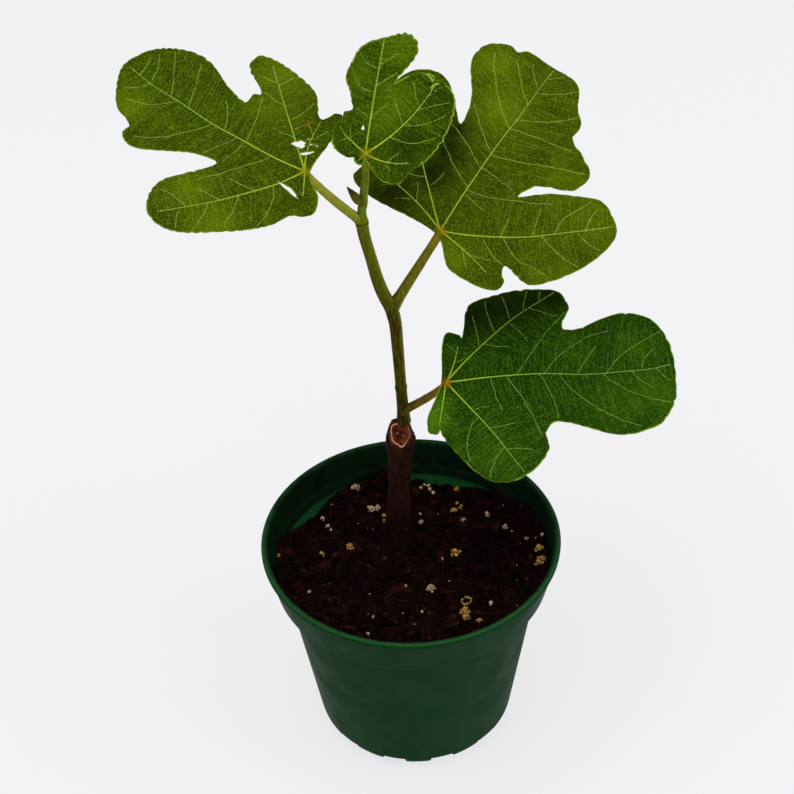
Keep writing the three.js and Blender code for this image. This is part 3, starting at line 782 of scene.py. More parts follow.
# %% Perlite
PERLITE_SEEN = [
    (355, 488, 3.6), (371, 510, 2.9), (377.5, 509, 2.4), (431.4, 590, 3.4), (428.4, 487, 1.5),
    (433, 494, 1.6), (421, 489, 1.5), (430, 490.5, 1.5), (424.5, 486, 1.3), (463.5, 520.5, 2.0),
    (421, 523, 2.0), (420, 515, 1.3), (491, 604.7, 1.6), (487.4, 515, 2.2), (322.7, 519.4, 1.8),
    (328, 527, 1.7), (331, 531, 1.3), (462.4, 504.8, 1.3), (526.7, 539.7, 1.9), (442.5, 560, 1.2),
    (368.3, 635, 1.8), (373, 617.5, 1.1), (505, 528, 2.2), (547, 535, 1.6), (422, 613, 1.2),
    (403, 614, 0.9), (406, 587, 1.2), (309, 593, 1.4),
]
perlite = Finish("perlite", 0.85, 0.05)
pits = perlite.node("TexVoronoi", Vector=perlite.place(), Scale=2400.0)
chalk = perlite.mix(perlite.fact("pick"), tone(196, 160, 122), tone(240, 222, 194))
perlite.colour(perlite.mix(perlite.step(pits, 0.35, 0.7), chalk, tone(120, 92, 72)))
perlite.bump(pits, 0.15, 0.6)
spots = clumped(PERLITE_SEEN) + strewn(22, 0.4, 0.9)
scatter("soil_perlite", lumps(spots, pebbles(5, 0.45, 0.85, 9.0, 2), 0.05), perlite)

# %% Feed grains
FEED_SEEN = [
    (454, 512, 2.8), (461, 508.5, 2.4), (455.5, 554.5, 4.0), (453.5, 553, 2.4), (540, 563, 4.0),
    (539, 550, 3.3), (350, 547.7, 3.0), (322, 555.5, 2.3), (465, 613, 3.8), (466, 618.5, 3.0),
    (479, 622, 2.4), (388, 529, 3.0), (385, 522, 2.0), (384, 517, 1.6), (457, 490, 2.4),
    (273, 556, 1.5), (457, 504, 1.3),
]
BURST_GRAIN, BURST_LUMPS = (467, 602), 15
BURST_RIGHT, BURST_BACK = 1.7, 2.21
feed = Finish("feed_grain", 0.6, 0.1)
mottle = feed.speckle(feed.place(), 1500.0, 3.0)
feed.colour(feed.mix(feed.step(mottle, 0.35, 0.62), tone(104, 62, 22), tone(206, 164, 84)))
feed.bump(feed.speckle(feed.place(), 2600.0, 3.0), 0.15, 0.6)
x, y = under_frame(*BURST_GRAIN)
burst = [
    (x + BURST_RIGHT * math.cos(angle), y + BURST_BACK * math.sin(angle), 1.0)
    for angle in ring_angles(BURST_LUMPS)
]
spots = clumped(FEED_SEEN) + burst + strewn(12, 0.5, 0.9)
scatter("soil_feed", lumps(spots, pebbles(4, 0.3, 0.9, 17.0, 2), 0.05), feed)

# %% [markdown]
# ## Trunk
# The trunk is an old cutting: bark on a tapering core that flares where it meets the soil.
# A limb is easiest to build as rings carried along a smooth route, since a ring's radius
# can then take the taper, the bark's ridges and every knot at once. The top is sliced
# with a plane, and the slice gets a face of its own: a roll of bark, a pale ring of
# young wood with a painted highlight that is full on its left and fades to the right,
# and a dark, sunken heart.

# %% Trunk sizes
TRUNK_ROUTE = [
    (-5.1, 14.3, 64), (-4.1, 14.3, 82), (-3.2, 14.1, 100), (-2.6, 14.2, 113), (-2.4, 14.8, 122.5),
]
TRUNK_RADII = [
    (0, 7), (0.07, 6), (0.13, 4.9), (0.26, 4.25), (0.5, 3.8), (0.72, 3.95), (0.84, 4.95),
    (0.9, 4.8), (1, 3.5),
]
CUT_POINT = np.array([-2.6, 12.6, 119.0])
CUT_SLOPE = math.radians(46)
CUT_NORMAL = np.array([0, -math.sin(CUT_SLOPE), math.cos(CUT_SLOPE)])
TRUNK_RINGS, TRUNK_SIDES = 210, 108
# Knots and bumps: (degrees round from the front, height, how proud, how wide)
KNOTS = [
    (78, 117.5, 0.9, 1.6), (-62, 104, 0.45, 1.8), (20, 91, 0.4, 1.5), (150, 98, 0.6, 2.0),
    (-150, 110, 0.5, 1.8),
]


# %% Bark relief
# Noise is read on a smooth cylinder along the limb, pressed or stretched in height. For
# each layer: how the height is scaled, how wide its lumps are, octaves and seed.
BARK_RADIUS = 4.4
FURROWS, WARTS, SWELL = (0.22, 1.5, 4, 4.0), (1.8, 1.3, 3, 11.0), (0.5, 6.0, 2, 21.0)
WART_FLOOR = 0.15
FURROW_RISE, FURROW_MIDDLE, WART_RISE, SWELL_RISE = 0.62, 0.3, 0.5, 0.35
KNOT_RADIUS = 4.6


def around(line, sides, radius):
    """Places on a smooth cylinder round a limb: ring by ring, side by side."""
    x = line[:, :1] + radius * np.sin(ring_angles(sides))
    y = line[:, 1:2] - radius * np.cos(ring_angles(sides))
    return np.stack([x, y, np.repeat(line[:, 2:], sides, 1)], 2)


def bark_relief(line, sides):
    skin = around(line, sides, BARK_RADIUS).reshape(-1, 3)
    furrows, warts, swell = (
        ripple_noise(skin * (1, 1, tall), *kind) for tall, *kind in (FURROWS, WARTS, SWELL)
    )
    warts = np.clip(warts, WART_FLOOR, 1) - WART_FLOOR
    relief = FURROW_RISE * (0.5 - np.abs(furrows) - FURROW_MIDDLE)
    relief += WART_RISE * warts + SWELL_RISE * swell
    relief = relief.reshape(len(line), sides)
    angles = np.degrees(ring_angles(sides))
    for turn, level, proud, wide in KNOTS:
        off = (angles - turn + 180) % 360 - 180
        apart = np.hypot(np.radians(off)[None, :] * KNOT_RADIUS, line[:, 2:] - level)
        relief += proud * hill(apart, wide)
    return relief


trunk_line = even_steps(smooth_curve(TRUNK_ROUTE), TRUNK_RINGS)
trunk_radii = stations(TRUNK_RADII, np.linspace(0, 1, TRUNK_RINGS))
relief = bark_relief(trunk_line, TRUNK_SIDES)
trunk = tube(trunk_line, trunk_radii, TRUNK_SIDES, relief)
print("bark stands", round(relief.min(), 2), "to", round(relief.max(), 2), "mm off the core")


# %% Slice a body with a plane
def sliced(points, faces, place, normal):
    """Keeps what lies behind the plane. Returns points, faces and the open edge in order."""
    body = bmesh.new()
    made = [body.verts.new(p) for p in points]
    for face in faces:
        body.faces.new([made[corner] for corner in face])
    everything = body.verts[:] + body.edges[:] + body.faces[:]
    bmesh.ops.bisect_plane(body, geom=everything, plane_co=place, plane_no=normal, clear_outer=True)
    body.verts.index_update()
    beside = {}
    for edge in (edge for edge in body.edges if edge.is_boundary):
        first, second = (v.index for v in edge.verts)
        beside.setdefault(first, []).append(second)
        beside.setdefault(second, []).append(first)
    loop, before, onward = [], None, next(iter(beside))
    while onward not in loop[:1]:
        loop.append(onward)
        onward = [v for v in beside[loop[-1]] if v != before][0]
        before = loop[-1]
    kept = np.array([v.co for v in body.verts])
    kept_faces = [[v.index for v in face.verts] for face in body.faces]
    body.free()
    return kept, kept_faces, loop


# %% Close an open edge
# Rings further in than the calm share leave out the rim's small waves. Splinters are noise:
# how wide, octaves, seed.
SMOOTH_SPAN, CALM_SHARE = 7, 0.86
SPLINTERS = (0.9, 3, 31.0)
LID = [(0.5, 0)]
DOWN = np.array([0, 0, -1.0])


def faced(points, faces, loop, normal, rings, rough=0.0):
    """Closes an open edge with rings of (share of the way out, rise along the normal)."""
    rim = points[loop]
    middle = rim.mean(0)
    around_rim = range(-SMOOTH_SPAN, SMOOTH_SPAN + 1)
    calm = np.mean([np.roll(rim, shift, axis=0) for shift in around_rim], axis=0)
    winding = np.cross(rim, np.roll(rim, -1, axis=0)).sum(0) @ normal
    points, faces, shares = [points], list(faces), []
    outer, count = list(loop), len(points[0])

    def fill(inner):
        for at in range(len(outer)):
            on = (at + 1) % len(outer)
            corners = [outer[at], outer[on], *inner(at, on)]
            faces.append(corners if winding > 0 else corners[::-1])

    for share, rise in rings:
        from_edge = soft_step(1.0, CALM_SHARE, share)
        ring = middle + (rim * (1 - from_edge) + calm * from_edge - middle) * share
        uneven = rough * ripple_noise(ring, *SPLINTERS)[:, None]
        points.append(ring + normal * (rise + uneven))
        fill(lambda at, on: (count + on, count + at))
        outer = list(range(count, count + len(ring)))
        count += len(ring)
        shares += [share] * len(ring)
    points.append((middle + normal * rings[-1][1])[None, :])
    fill(lambda at, on: (count,))
    return np.vstack(points), faces, np.array(shares + [0.0])


def level_foot(points, faces, height):
    """Cuts a limb off level at its foot and closes it."""
    return faced(*sliced(points, faces, (0, 0, height), DOWN), DOWN, LID)[:2]


# %% Cut the trunk
# Rings across the cut face, from its edge in: (share of the way out, rise).
CUT_RINGS = [
    (0.97, 0.28), (0.93, 0.34), (0.88, 0.2), (0.84, -0.05), (0.8, 0.0), (0.74, 0.05), (0.7, -0.25),
    (0.62, -0.5), (0.5, -0.62), (0.38, -0.7), (0.26, -0.78), (0.14, -0.9), (0.06, -1.0),
]
CUT_ROUGHNESS = 0.16
points, faces = level_foot(*trunk, SOIL_LEVEL + GAP)
points, faces, cut_edge = sliced(points, faces, CUT_POINT, CUT_NORMAL)
bark_count = len(points)
points, faces, cut_shares = faced(points, faces, cut_edge, CUT_NORMAL, CUT_RINGS, CUT_ROUGHNESS)
on_cut = np.r_[np.zeros(bark_count), np.ones(len(cut_shares))]
across_cut = np.r_[np.ones(bark_count), cut_shares]
print("cut face has", len(cut_edge), "points round its edge")

# %% Bark and cut wood
bark = Finish("bark", 0.7, 0.03)
where = bark.place()
long_grain = bark.node("Mapping", Vector=where, Scale=(1, 1, 0.25))
streaks = bark.step(bark.speckle(long_grain, 900.0, 5.0, 0.65), 0.32, 0.68)
skin = bark.coats(
    tone(16, 6, 4),
    (streaks, tone(58, 28, 18)),
    (bark.step(bark.speckle(where, 260.0, 3.0), 0.5, 0.66), tone(38, 20, 20)),
    (bark.step(bark.speckle(where, 700.0, 4.0, 0.7), 0.68, 0.76), tone(112, 78, 60)),
    (bark.step(bark.height(where), 0.096, 0.07, 0.0, 0.6), tone(12, 6, 6)),
)
share = bark.fact("across_cut")
# Pale pinkish spots over the cut wood.
pale_spots = bark.step(bark.speckle(where, 420.0, 2.0), 0.6, 0.7)
ring_in = bark.step(bark.fact("ring_place"), 0.71, 0.75)
ring_out = bark.step(bark.fact("ring_place"), 0.85, 0.81)
# The ring carries a painted highlight, full on the left and fading to the right.
ring = bark.times(bark.times(ring_in, ring_out), bark.fact("ring_highlight_share"))
wood = bark.coats(
    tone(52, 22, 12),
    (bark.step(share, 0.0, 0.6), tone(112, 52, 26)),
    (bark.step(bark.speckle(where, 650.0, 4.0), 0.42, 0.62), tone(58, 22, 12)),
    (bark.times(pale_spots, 0.6), tone(176, 140, 134)),
    (ring, tone(214, 156, 116)),
    (bark.step(share, 0.95, 0.99), tone(66, 32, 20)),
)
bark.colour(bark.mix(bark.fact("on_cut"), skin, wood))
bark.bump(bark.mix(0.5, streaks, bark.speckle(where, 2600.0, 3.0)), 0.12, 0.7)

# %% Place the trunk
# The pale ring is young wood. It is drawn out to a point at the low end of the cut.
# A highlight is also painted into it: full on the left, fading towards the right.
POINT_LEAN, POINT_WIDE, POINT_OUT = 0.3, 0.5, 0.13
right_of, down_of = points[:, 0] - CUT_POINT[0], CUT_POINT[2] - points[:, 2]
ring_point = hill(np.arctan2(right_of, down_of) - POINT_LEAN, POINT_WIDE)
facts = {
    "on_cut": on_cut, "across_cut": across_cut, "ring_place": across_cut - POINT_OUT * ring_point,
    # Painted highlight share on the ring: 1 on the left, down to 0.4 on the right.
    "ring_highlight_share": 1 - 0.6 * soft_step(0.8, 2.6, right_of),
}
build_piece("trunk_wood", points, faces, facts, bark.material, "bark", "trunk")

# %% [markdown]
# ## Shoot
# This year's shoot springs from behind the slanted cut. Where a leaf joins or once
# joined, the stem swells and carries a fine ring, and between those nodes it has faint
# ribs. So it is the same ring-on-a-route limb, with a relief made for a green stem.
# Its lower half has begun to turn brown, and above the fork it is still olive green.

# %% Shoot sizes
SHOOT_ROUTE = [
    (-1, 17.3, 120.5), (-1.2, 15.2, 130.5), (-1.6, 14.2, 141), (-2.1, 14, 155), (-3.2, 14, 169.5),
    (-6.9, 14, 180), (-9.6, 14, 192), (-11.7, 14, 203.5), (-11.7, 14, 209), (-11.2, 14, 212.6),
]
SHOOT_RADII = [
    (0, 2.7), (0.06, 2.05), (0.2, 1.85), (0.33, 1.9), (0.45, 2.05), (0.56, 2.2), (0.66, 2.05),
    (0.78, 1.85), (0.92, 1.95), (0.96, 1.4), (1, 1.35),
]
SHOOT_RINGS, SHOOT_SIDES = 420, 48
# Nodes: (height, how proud, how long, slope of the ring to the right, depth of its scar line)
NODES = [
    (125.5, 0.1, 1.6, 0.0, 0.08), (138.8, 0.3, 0.8, 0.1, 0.16), (150.0, 0.05, 1.0, -0.2, 0.05),
    (170.8, 0.12, 1.2, 1.0, 0.22), (190.0, 0.04, 1.0, 0.3, 0.04), (205.4, 0.22, 1.1, 0.1, 0.3),
    (212.2, 0.22, 0.7, -0.2, 0.1),
]


# %% Green stem relief
STEM_RADIUS, STEM_WAVER = 2.0, 0.07
SCAR_LINE, SCAR_STAIN = 0.16, 0.22


def stem_relief(line, sides, nodes, ribs, rib_depth, seed):
    skin = around(line, sides, STEM_RADIUS)
    level = skin[:, :, 2]
    waver = ripple_noise(skin.reshape(-1, 3) * (1, 1, 0.12), 1.4, 2, seed).reshape(level.shape)
    relief = rib_depth * np.cos(ribs * ring_angles(sides))[None, :] + STEM_WAVER * waver
    scar = np.zeros_like(relief)
    for height, proud, long, slope, depth in nodes:
        apart = level - height - slope * (skin[:, :, 0] - line[:, :1])
        relief += proud * hill(apart, long) - depth * hill(apart, SCAR_LINE)
        scar = np.maximum(scar, min(1.0, 4 * depth) * hill(apart, SCAR_STAIN))
    return relief, scar


def stem(route, radii, rings, sides, nodes, ribs, rib_depth, seed):
    """A green stem's points, faces and facts: how far along, its scar lines, how far right."""
    line = even_steps(smooth_curve(route), rings)
    places = np.linspace(0, 1, rings)
    relief, scar = stem_relief(line, sides, nodes, ribs, rib_depth, seed)
    points, faces = tube(line, stations(radii, places), sides, relief)
    facts = {
        "along": np.r_[np.repeat(places, sides), 0, 1],
        "scar": np.r_[scar.ravel(), 0, 0],
        "lit_side": np.r_[np.tile(np.sin(ring_angles(sides)), rings), 0, 0],
    }
    return points, faces, facts


# %% Stem skin
def stem_skin(name, colours, highlight_and_streak_colour, scar_and_shade_colour):
    """colours: (place along the stem, colour). The streak and highlight colour tints fine
    lengthwise streaks and is painted highlight down the right side; the scar and shade
    colour marks scars and spots and is painted shade down the left side.
    """
    skin = Finish(name, 0.5, 0.02)
    where, along, lit_side = skin.place(), skin.fact("along"), skin.fact("lit_side")
    long_grain = skin.node("Mapping", Vector=where, Scale=(1, 1, 0.15))
    fine = skin.step(skin.speckle(long_grain, 1400.0, 4.0, 0.6), 0.35, 0.7)
    places, tones = zip(*colours)
    lengthwise = [(skin.step(along, *ends), shade) for *ends, shade in zip(places, places[1:], tones[1:])]
    skin.colour(skin.coats(
        tones[0], *lengthwise,
        (skin.times(fine, 0.3), highlight_and_streak_colour),
        # Painted highlight down the right side of the stem, painted shade down its left.
        (skin.step(lit_side, 0.45, 1.0, 0.0, 0.55), highlight_and_streak_colour),
        (skin.step(lit_side, -0.3, -1.0, 0.0, 0.4), scar_and_shade_colour),
        (skin.step(skin.speckle(where, 500.0, 3.0), 0.52, 0.7, 0.0, 0.22), scar_and_shade_colour),
        (skin.fact("scar"), scar_and_shade_colour),
    ))
    skin.bump(skin.speckle(long_grain, 2400.0, 3.0), 0.05, 0.5)
    return skin.material


SHOOT_COLOURS = [
    (0.0, tone(34, 18, 10)), (0.06, tone(46, 34, 6)), (0.4, tone(54, 43, 4)),
    (0.545, tone(48, 36, 6)), (0.57, tone(66, 66, 5)), (0.85, tone(76, 80, 7)),
    (1.0, tone(94, 112, 12)),
]
shoot_skin = stem_skin("shoot_skin", SHOOT_COLOURS, tone(124, 130, 26), tone(24, 18, 4))

# %% Build the shoot
SHOOT_SEAT = 121.6
SHOOT_RIBS, SHOOT_RIB_DEPTH, SHOOT_SEED = 7, 0.05, 5.0


def nearness(points):
    """A tree that finds the nearest of some flat or solid points."""
    tree = kdtree.KDTree(len(points))
    for index, point in enumerate(points):
        tree.insert((*point, 0)[:3], index)
    tree.balance()
    return tree


whole, faces, facts = stem(
    SHOOT_ROUTE, SHOOT_RADII, SHOOT_RINGS, SHOOT_SIDES, NODES, SHOOT_RIBS, SHOOT_RIB_DEPTH, SHOOT_SEED,
)
points, faces = level_foot(whole, faces, SHOOT_SEAT)
# The cut made new points, so each one reads its facts from the nearest old point.
tree = nearness(whole)
nearest = [tree.find(point)[1] for point in points]
facts = {label: values[nearest] for label, values in facts.items()}
build_piece("shoot_stem", points, faces, facts, shoot_skin, "shoot", "shoot")

# %% [markdown]
# ## Leaves, part one: their sizes
# A fig leaf is a hand: a few lobes, each with its own main vein, all meeting at the stalk.
# So a leaf is written down as lobes. Each has a direction, a reach and a width on either
# side, and the bays between them get a point or two. The numbers are the same as in the
# solids, so each fine blade lies where its solid is.

# %% Leaf sizes
USUAL_SHARPNESS = 0.9


def lobe(turn, reach, right, left, vein=(), bay=()):
    """A lobe, seen from the joint.

    turn: degrees from the midrib. right, left: (along, out, sharpness) of each side.
    vein: (turn, share of the reach, bow, slight S) of the main vein.
    bay: (turn, reach) steps between this lobe and the next.
    """
    right, left = ((*side, USUAL_SHARPNESS)[:3] for side in (right, left))
    vein = (*vein, 0)[:4] if vein else ()
    return {"turn": turn, "reach": reach, "right": right, "left": left, "vein": vein, "bay": bay}


# Notches are (place, depth, width) and holes are (place, size, tilt). Teeth are (length, depth).
LEAVES = {
    "low": {
        "joint": (13.4, 7, 145.8), "heading": -0.5, "rise": 0, "roll": 25,
        "droop": 2.5, "right_fold": 3, "left_fold": 3, "ripple": 1.2, "teeth": (4.6, 0.5),
        "lobes": [
            lobe(-106, 19, (12, 2.6), (17, 2.3), (-100, 0.8, 0), [(-94, 19.5)]),
            lobe(-56, 42, (27, 12), (34.3, 15.4), (-54, 0.96, 1), [(-24.5, 38.2)]),
            lobe(2, 76.5, (57, 22.5), (61, 22.5, 0.8), (4.5, 0.98, -0.3, 1.1), [(23, 47), (26, 44)]),
            lobe(40.5, 51.5, (47.5, 8), (25, 16, 1.5), (41, 0.96, 2.5), [(71.5, 21)]),
            lobe(86, 18.8, (17, 4.6), (12, 1.8), (75, 0.75, -1)),
        ],
        "notches": [],
        "holes": [],
    },
    "right": {
        "joint": (12.7, 20, 197.1), "heading": 49, "rise": 26, "roll": 21,
        "droop": 2, "right_fold": 3, "left_fold": 3, "ripple": 1.4, "teeth": (5, 0.35),
        "lobes": [
            lobe(-104, 27, (11, 6.6, 1.3), (24.5, 4), (-103, 0.75, 1.2), [(-86.5, 23.5)]),
            lobe(
                -57, 55.8, (28, 18.3, 1.3), (46, 12.3), (-54, 0.98, -2.9),
                [(-36.3, 38), (-31, 27.3), (-29.5, 34)],
            ),
            lobe(-32, 52.3, (44.5, 4.4), (51.8, 8), bay=[(-18.5, 54), (-16.8, 59)]),
            lobe(8, 71.3, (59, 21.1), (60, 17.3, 0.65), (1.5, 0.98, 0.7, 0.3), [(21.5, 47), (24, 38)]),
            lobe(44, 57.7, (49, 12.6), (40, 11.2, 1.2), (46, 0.93, 0.5), [(70, 33.8)]),
            lobe(88, 33.9, (31, 6.3), (25, 3.6), (80, 0.85, -2.3)),
        ],
        "notches": [((69.5, 15), 2, 2)],
        "holes": [],
    },
    "left": {
        "joint": (-28.1, 10, 226.7), "heading": 147, "rise": 14, "roll": -21,
        "droop": 1.5, "right_fold": 3, "left_fold": 3, "ripple": 1.3, "teeth": (3, 0.5),
        "lobes": [
            lobe(-84, 23, (15, 1.6), (20.5, 3.2), (-74, 0.78, 2.2), [(-68, 20)]),
            lobe(
                -37, 46, (25.5, 11.8, 1.5), (42, 4.5), (-40.5, 0.88, 0),
                [(-31, 34.5), (-30, 32.4), (-26, 33.2), (-20, 31.7), (-18.3, 39.5)],
            ),
            lobe(-3, 72, (50, 14.5, 1), (49, 24, 1.4), (-2.5, 0.96, 1.8), [(22, 34), (27, 27)]),
            lobe(50, 48.8, (35, 10.2), (22, 15.2, 1.1), (50, 0.94, 2.2), [(98, 20.8)]),
            lobe(128, 15.3, (15, 5.4), (8.5, 3.4), (121, 0.5, 0)),
        ],
        "notches": [((59.5, 15), 4, 3.6)],
        "holes": [
            ((7.6, -7.6), (4.2, 2.6), 20), ((3.7, -6), (4.4, 1.1), 43), ((0.6, 7.6), (8, 1.3), -12),
            ((4.4, -9.4), (1.2, 0.5), 30), ((2.6, -9.9), (0.9, 0.5), -20), ((6.3, -10.6), (0.8, 0.5), 60),
        ],
    },
    "top": {
        "joint": (-9.7, 13, 230.6), "heading": 65, "rise": 57, "roll": 22,
        "droop": 2, "right_fold": 8, "left_fold": 64, "ripple": 0.8, "teeth": (2.6, 0.7),
        "lobes": [
            lobe(-112, 14, (7.5, 4.1), (14.4, 3.2), (-90, 0.95, -1.3), [(-91, 16.7)]),
            lobe(-46, 31.7, (16, 11.4, 1.4), (22.5, 12.5), (-33, 0.93, -2.2), [(-11.6, 22.7)]),
            lobe(
                -8, 37.9, (33, 4.8), (18.5, 17.3, 1.5), (1, 0.93, 0.3),
                [(28, 18), (27, 13.7), (42.5, 14.5)],
            ),
            lobe(80, 14.9, (11.3, 6.3), (9, 2.7), (60, 0.85, 0), [(112, 5.5)]),
            lobe(150, 4, (3, 1.6), (2.5, 1.6), (145, 0.7, 0)),
        ],
        "notches": [((25.5, -16.5), 1.4, 1)],
        "holes": [((7.4, 2), (1.6, 0.9), 0)],
    },
}

# %% [markdown]
# ## Stalks and bud
# Each stalk leaves the shoot with a swollen foot, bows a little and ends under its blade.
# They are stems like the shoot, thinner and with deeper ribs. The pointed bud beside the
# youngest stalk is a sheath rolled round the next leaf, so a spiral seam runs up it.

# %% A leaf's own frame
def leaf_matrix(leaf):
    """The blade's flat frame in the plant's: x along the midrib, y to its left, z up."""
    heading = Matrix.Rotation(math.radians(leaf["heading"]), 4, "Z")
    rise = Matrix.Rotation(-math.radians(leaf["rise"]), 4, "Y")
    roll = Matrix.Rotation(math.radians(leaf["roll"]), 4, "X")
    return Matrix.Translation(leaf["joint"]) @ heading @ rise @ roll


# %% Stalks
# Where a stalk ends in its leaf's own frame: a little past the joint and under the blade.
STALK_END = Vector((0.6, 0, -1.15))
STALK_SIDES, STALK_RIBS, STALK_RIB_DEPTH = 28, 5, 0.07
STALKS = {
    "low": {
        "start": (-1.1, 15.4, 127.6), "bow": (0.3, 0, -0.4), "radii": (1.45, 1.25),
        "colours": [(0.0, tone(62, 50, 8)), (0.5, tone(104, 74, 12)), (1.0, tone(168, 108, 14))],
    },
    "right": {
        "start": (-3, 14, 173), "bow": (0, 0, 0), "radii": (1.8, 1.35),
        "colours": [
            (0.0, tone(58, 46, 8)), (0.2, tone(92, 84, 12)), (0.7, tone(102, 98, 16)),
            (1.0, tone(160, 128, 20)),
        ],
    },
    "left": {
        "start": (-11.5, 14, 205.2), "bow": (0, 0, -0.6), "radii": (1.45, 1.3),
        "colours": [(0.0, tone(104, 110, 20)), (0.4, tone(130, 136, 32)), (1.0, tone(150, 150, 44))],
    },
    "top": {
        "start": (-11.2, 14, 213), "bow": (0.3, 0, 0), "radii": (1.3, 1.1),
        "colours": [(0.0, tone(84, 98, 8)), (0.5, tone(98, 108, 8)), (1.0, tone(122, 134, 14))],
    },
}
for name, leaf in LEAVES.items():
    stalk = STALKS[name]
    end = leaf_matrix(leaf) @ STALK_END
    start = Vector(stalk["start"])
    middle = start.lerp(end, 0.5) + Vector(stalk["bow"])
    length = (end - start).length
    foot, tip = stalk["radii"]
    radii = [
        (0, foot * 1.3), (0.05, foot * 1.15), (0.14, foot), (0.8, tip), (0.95, tip * 1.06),
        (1, tip * 0.9),
    ]
    nodes = [(start.z + 0.08 * (end.z - start.z), 0.06, 0.8, 0.5, 0.06)]
    body = stem(
        [start, middle, end], radii, int(4 * length), STALK_SIDES, nodes, STALK_RIBS,
        STALK_RIB_DEPTH, 3.0 + length,
    )
    skin = stem_skin(f"stalk_skin_{name}", stalk["colours"], tone(160, 164, 62), tone(66, 52, 10))
    build_piece(f"stalk_{name}_stem", *body, skin, "stalk", f"stalk_{name}")

# %% Bud
BUD_FOOT, BUD_TIP, BUD_RADIUS = (-12.3, 13.0, 213.6), (-15.8, 11.0, 220.4), 1.5
BUD_RADII = [(0, 0.8), (0.12, 0.98), (0.35, 0.9), (0.7, 0.5), (0.93, 0.16), (1, 0.06)]
BUD_SIDES, BUD_RINGS = 40, 90
SEAM_START, SEAM_TWIST, SEAM_WIDTH, SEAM_DEPTH = 1.2, 1.6, 0.16, 0.16
BUD_RIBS, BUD_RIB_DEPTH = 9, 0.03
BUD_COLOURS = [
    (0.0, tone(92, 96, 18)), (0.4, tone(78, 76, 16)), (0.7, tone(58, 40, 14)), (1.0, tone(24, 12, 6)),
]
bud_line = even_steps(np.array([BUD_FOOT, BUD_TIP], float), BUD_RINGS)
rise = np.linspace(0, 1, BUD_RINGS)[:, None]
slimness = stations(BUD_RADII, rise)
angles = ring_angles(BUD_SIDES)[None, :]
from_seam = (angles - SEAM_START - SEAM_TWIST * rise + np.pi) % (2 * np.pi) - np.pi
seam = hill(from_seam, SEAM_WIDTH)
relief = BUD_RIB_DEPTH * np.cos(BUD_RIBS * angles) - SEAM_DEPTH * seam * np.sqrt(1 - rise)
points, faces = tube(bud_line, slimness.ravel() * BUD_RADIUS, BUD_SIDES, relief * slimness)
facts = {"along": np.r_[np.repeat(rise, BUD_SIDES), 0, 1], "scar": np.r_[seam.ravel(), 0, 0]}
bud_skin = stem_skin("bud_skin", BUD_COLOURS, tone(104, 98, 34), tone(40, 26, 10))
build_piece("bud_sheath", points, faces, facts, bud_skin, "bud", "bud")

# %% [markdown]
# ## Leaves, part two: the outline
# The outline is one closed smooth curve through the lobes' points. A real margin isn't
# smooth, though: it has low rounded teeth a few millimetres long. They are added by
# pushing the curve in and out along its own normal. Bitten places pull it towards the
# stalk, as an insect does.

# %% Outline of a blade
BLADE_BACK = -1.6
OUTLINE_STEP = 0.42
LOBE_ANGLES = (0, 32, 62)
# Slow noise along the margin: how long its waves are, how much it shifts the teeth or
# changes their depth. Near the joint the margin has no teeth.
SHIFT_WAVE, TOOTH_SHIFT, MOOD_WAVE, MOOD = 11, 3.5, 5, 1.3
MOOD_MIDDLE, MOOD_LEAST, MOOD_MOST, MOOD_SEED = 0.6, 0.05, 1.5, 3.7
TEETH_FROM, TEETH_FULL = 4, 12
TOOTH_ROUND, TOOTH_LEVEL = 0.6, 0.78
HOLE_STEPS, BIG_BITE, SMALL_BITE = 26, 0.16, 0.1


def lobe_points(lobe):
    along, out = polar(lobe["turn"], 1), polar(lobe["turn"] + 90, 1)

    def edge(start, width, sharpness, angle, side):
        forward = start + (lobe["reach"] - start) * math.sin(math.radians(angle)) ** sharpness
        return along * forward + out * side * width * math.cos(math.radians(angle)) ** sharpness

    right = [edge(*lobe["right"], angle, -1) for angle in LOBE_ANGLES]
    left = [edge(*lobe["left"], angle, 1) for angle in LOBE_ANGLES[::-1]]
    return [*right, along * lobe["reach"], *left]


def outward_normals(loop):
    along = unit(np.roll(loop, -1, axis=0) - np.roll(loop, 1, axis=0))
    return np.stack([along[:, 1], -along[:, 0]], 1)


def blade_outline(leaf):
    corners = [np.array([BLADE_BACK, 0.0])]
    for lobe in leaf["lobes"]:
        corners += lobe_points(lobe) + [polar(*step) for step in lobe["bay"]]
    line = smooth_curve(corners, closed=True)
    loop = even_steps(line, int(strides(line).sum() / OUTLINE_STEP), closed=True)
    for place, depth, width in leaf["notches"]:
        bite = depth * hill(np.linalg.norm(loop - place, axis=1), width)
        loop = loop - unit(loop) * bite[:, None]
    gone = np.arange(len(loop)) * OUTLINE_STEP
    shift = np.array([noise.noise(Vector((s / SHIFT_WAVE, leaf["heading"], 0))) for s in gone])
    mood = np.array([noise.noise(Vector((s / MOOD_WAVE, MOOD_SEED, leaf["heading"]))) for s in gone])
    tooth_length, tooth_depth = leaf["teeth"]
    tooth = np.abs(np.sin(np.pi * gone / tooth_length + TOOTH_SHIFT * shift)) ** TOOTH_ROUND
    away_from_joint = soft_step(TEETH_FROM, TEETH_FULL, np.linalg.norm(loop, axis=1))
    free = away_from_joint * np.clip(MOOD_MIDDLE + MOOD * mood, MOOD_LEAST, MOOD_MOST)
    return loop + outward_normals(loop) * (tooth_depth * (tooth - TOOTH_LEVEL) * free)[:, None]


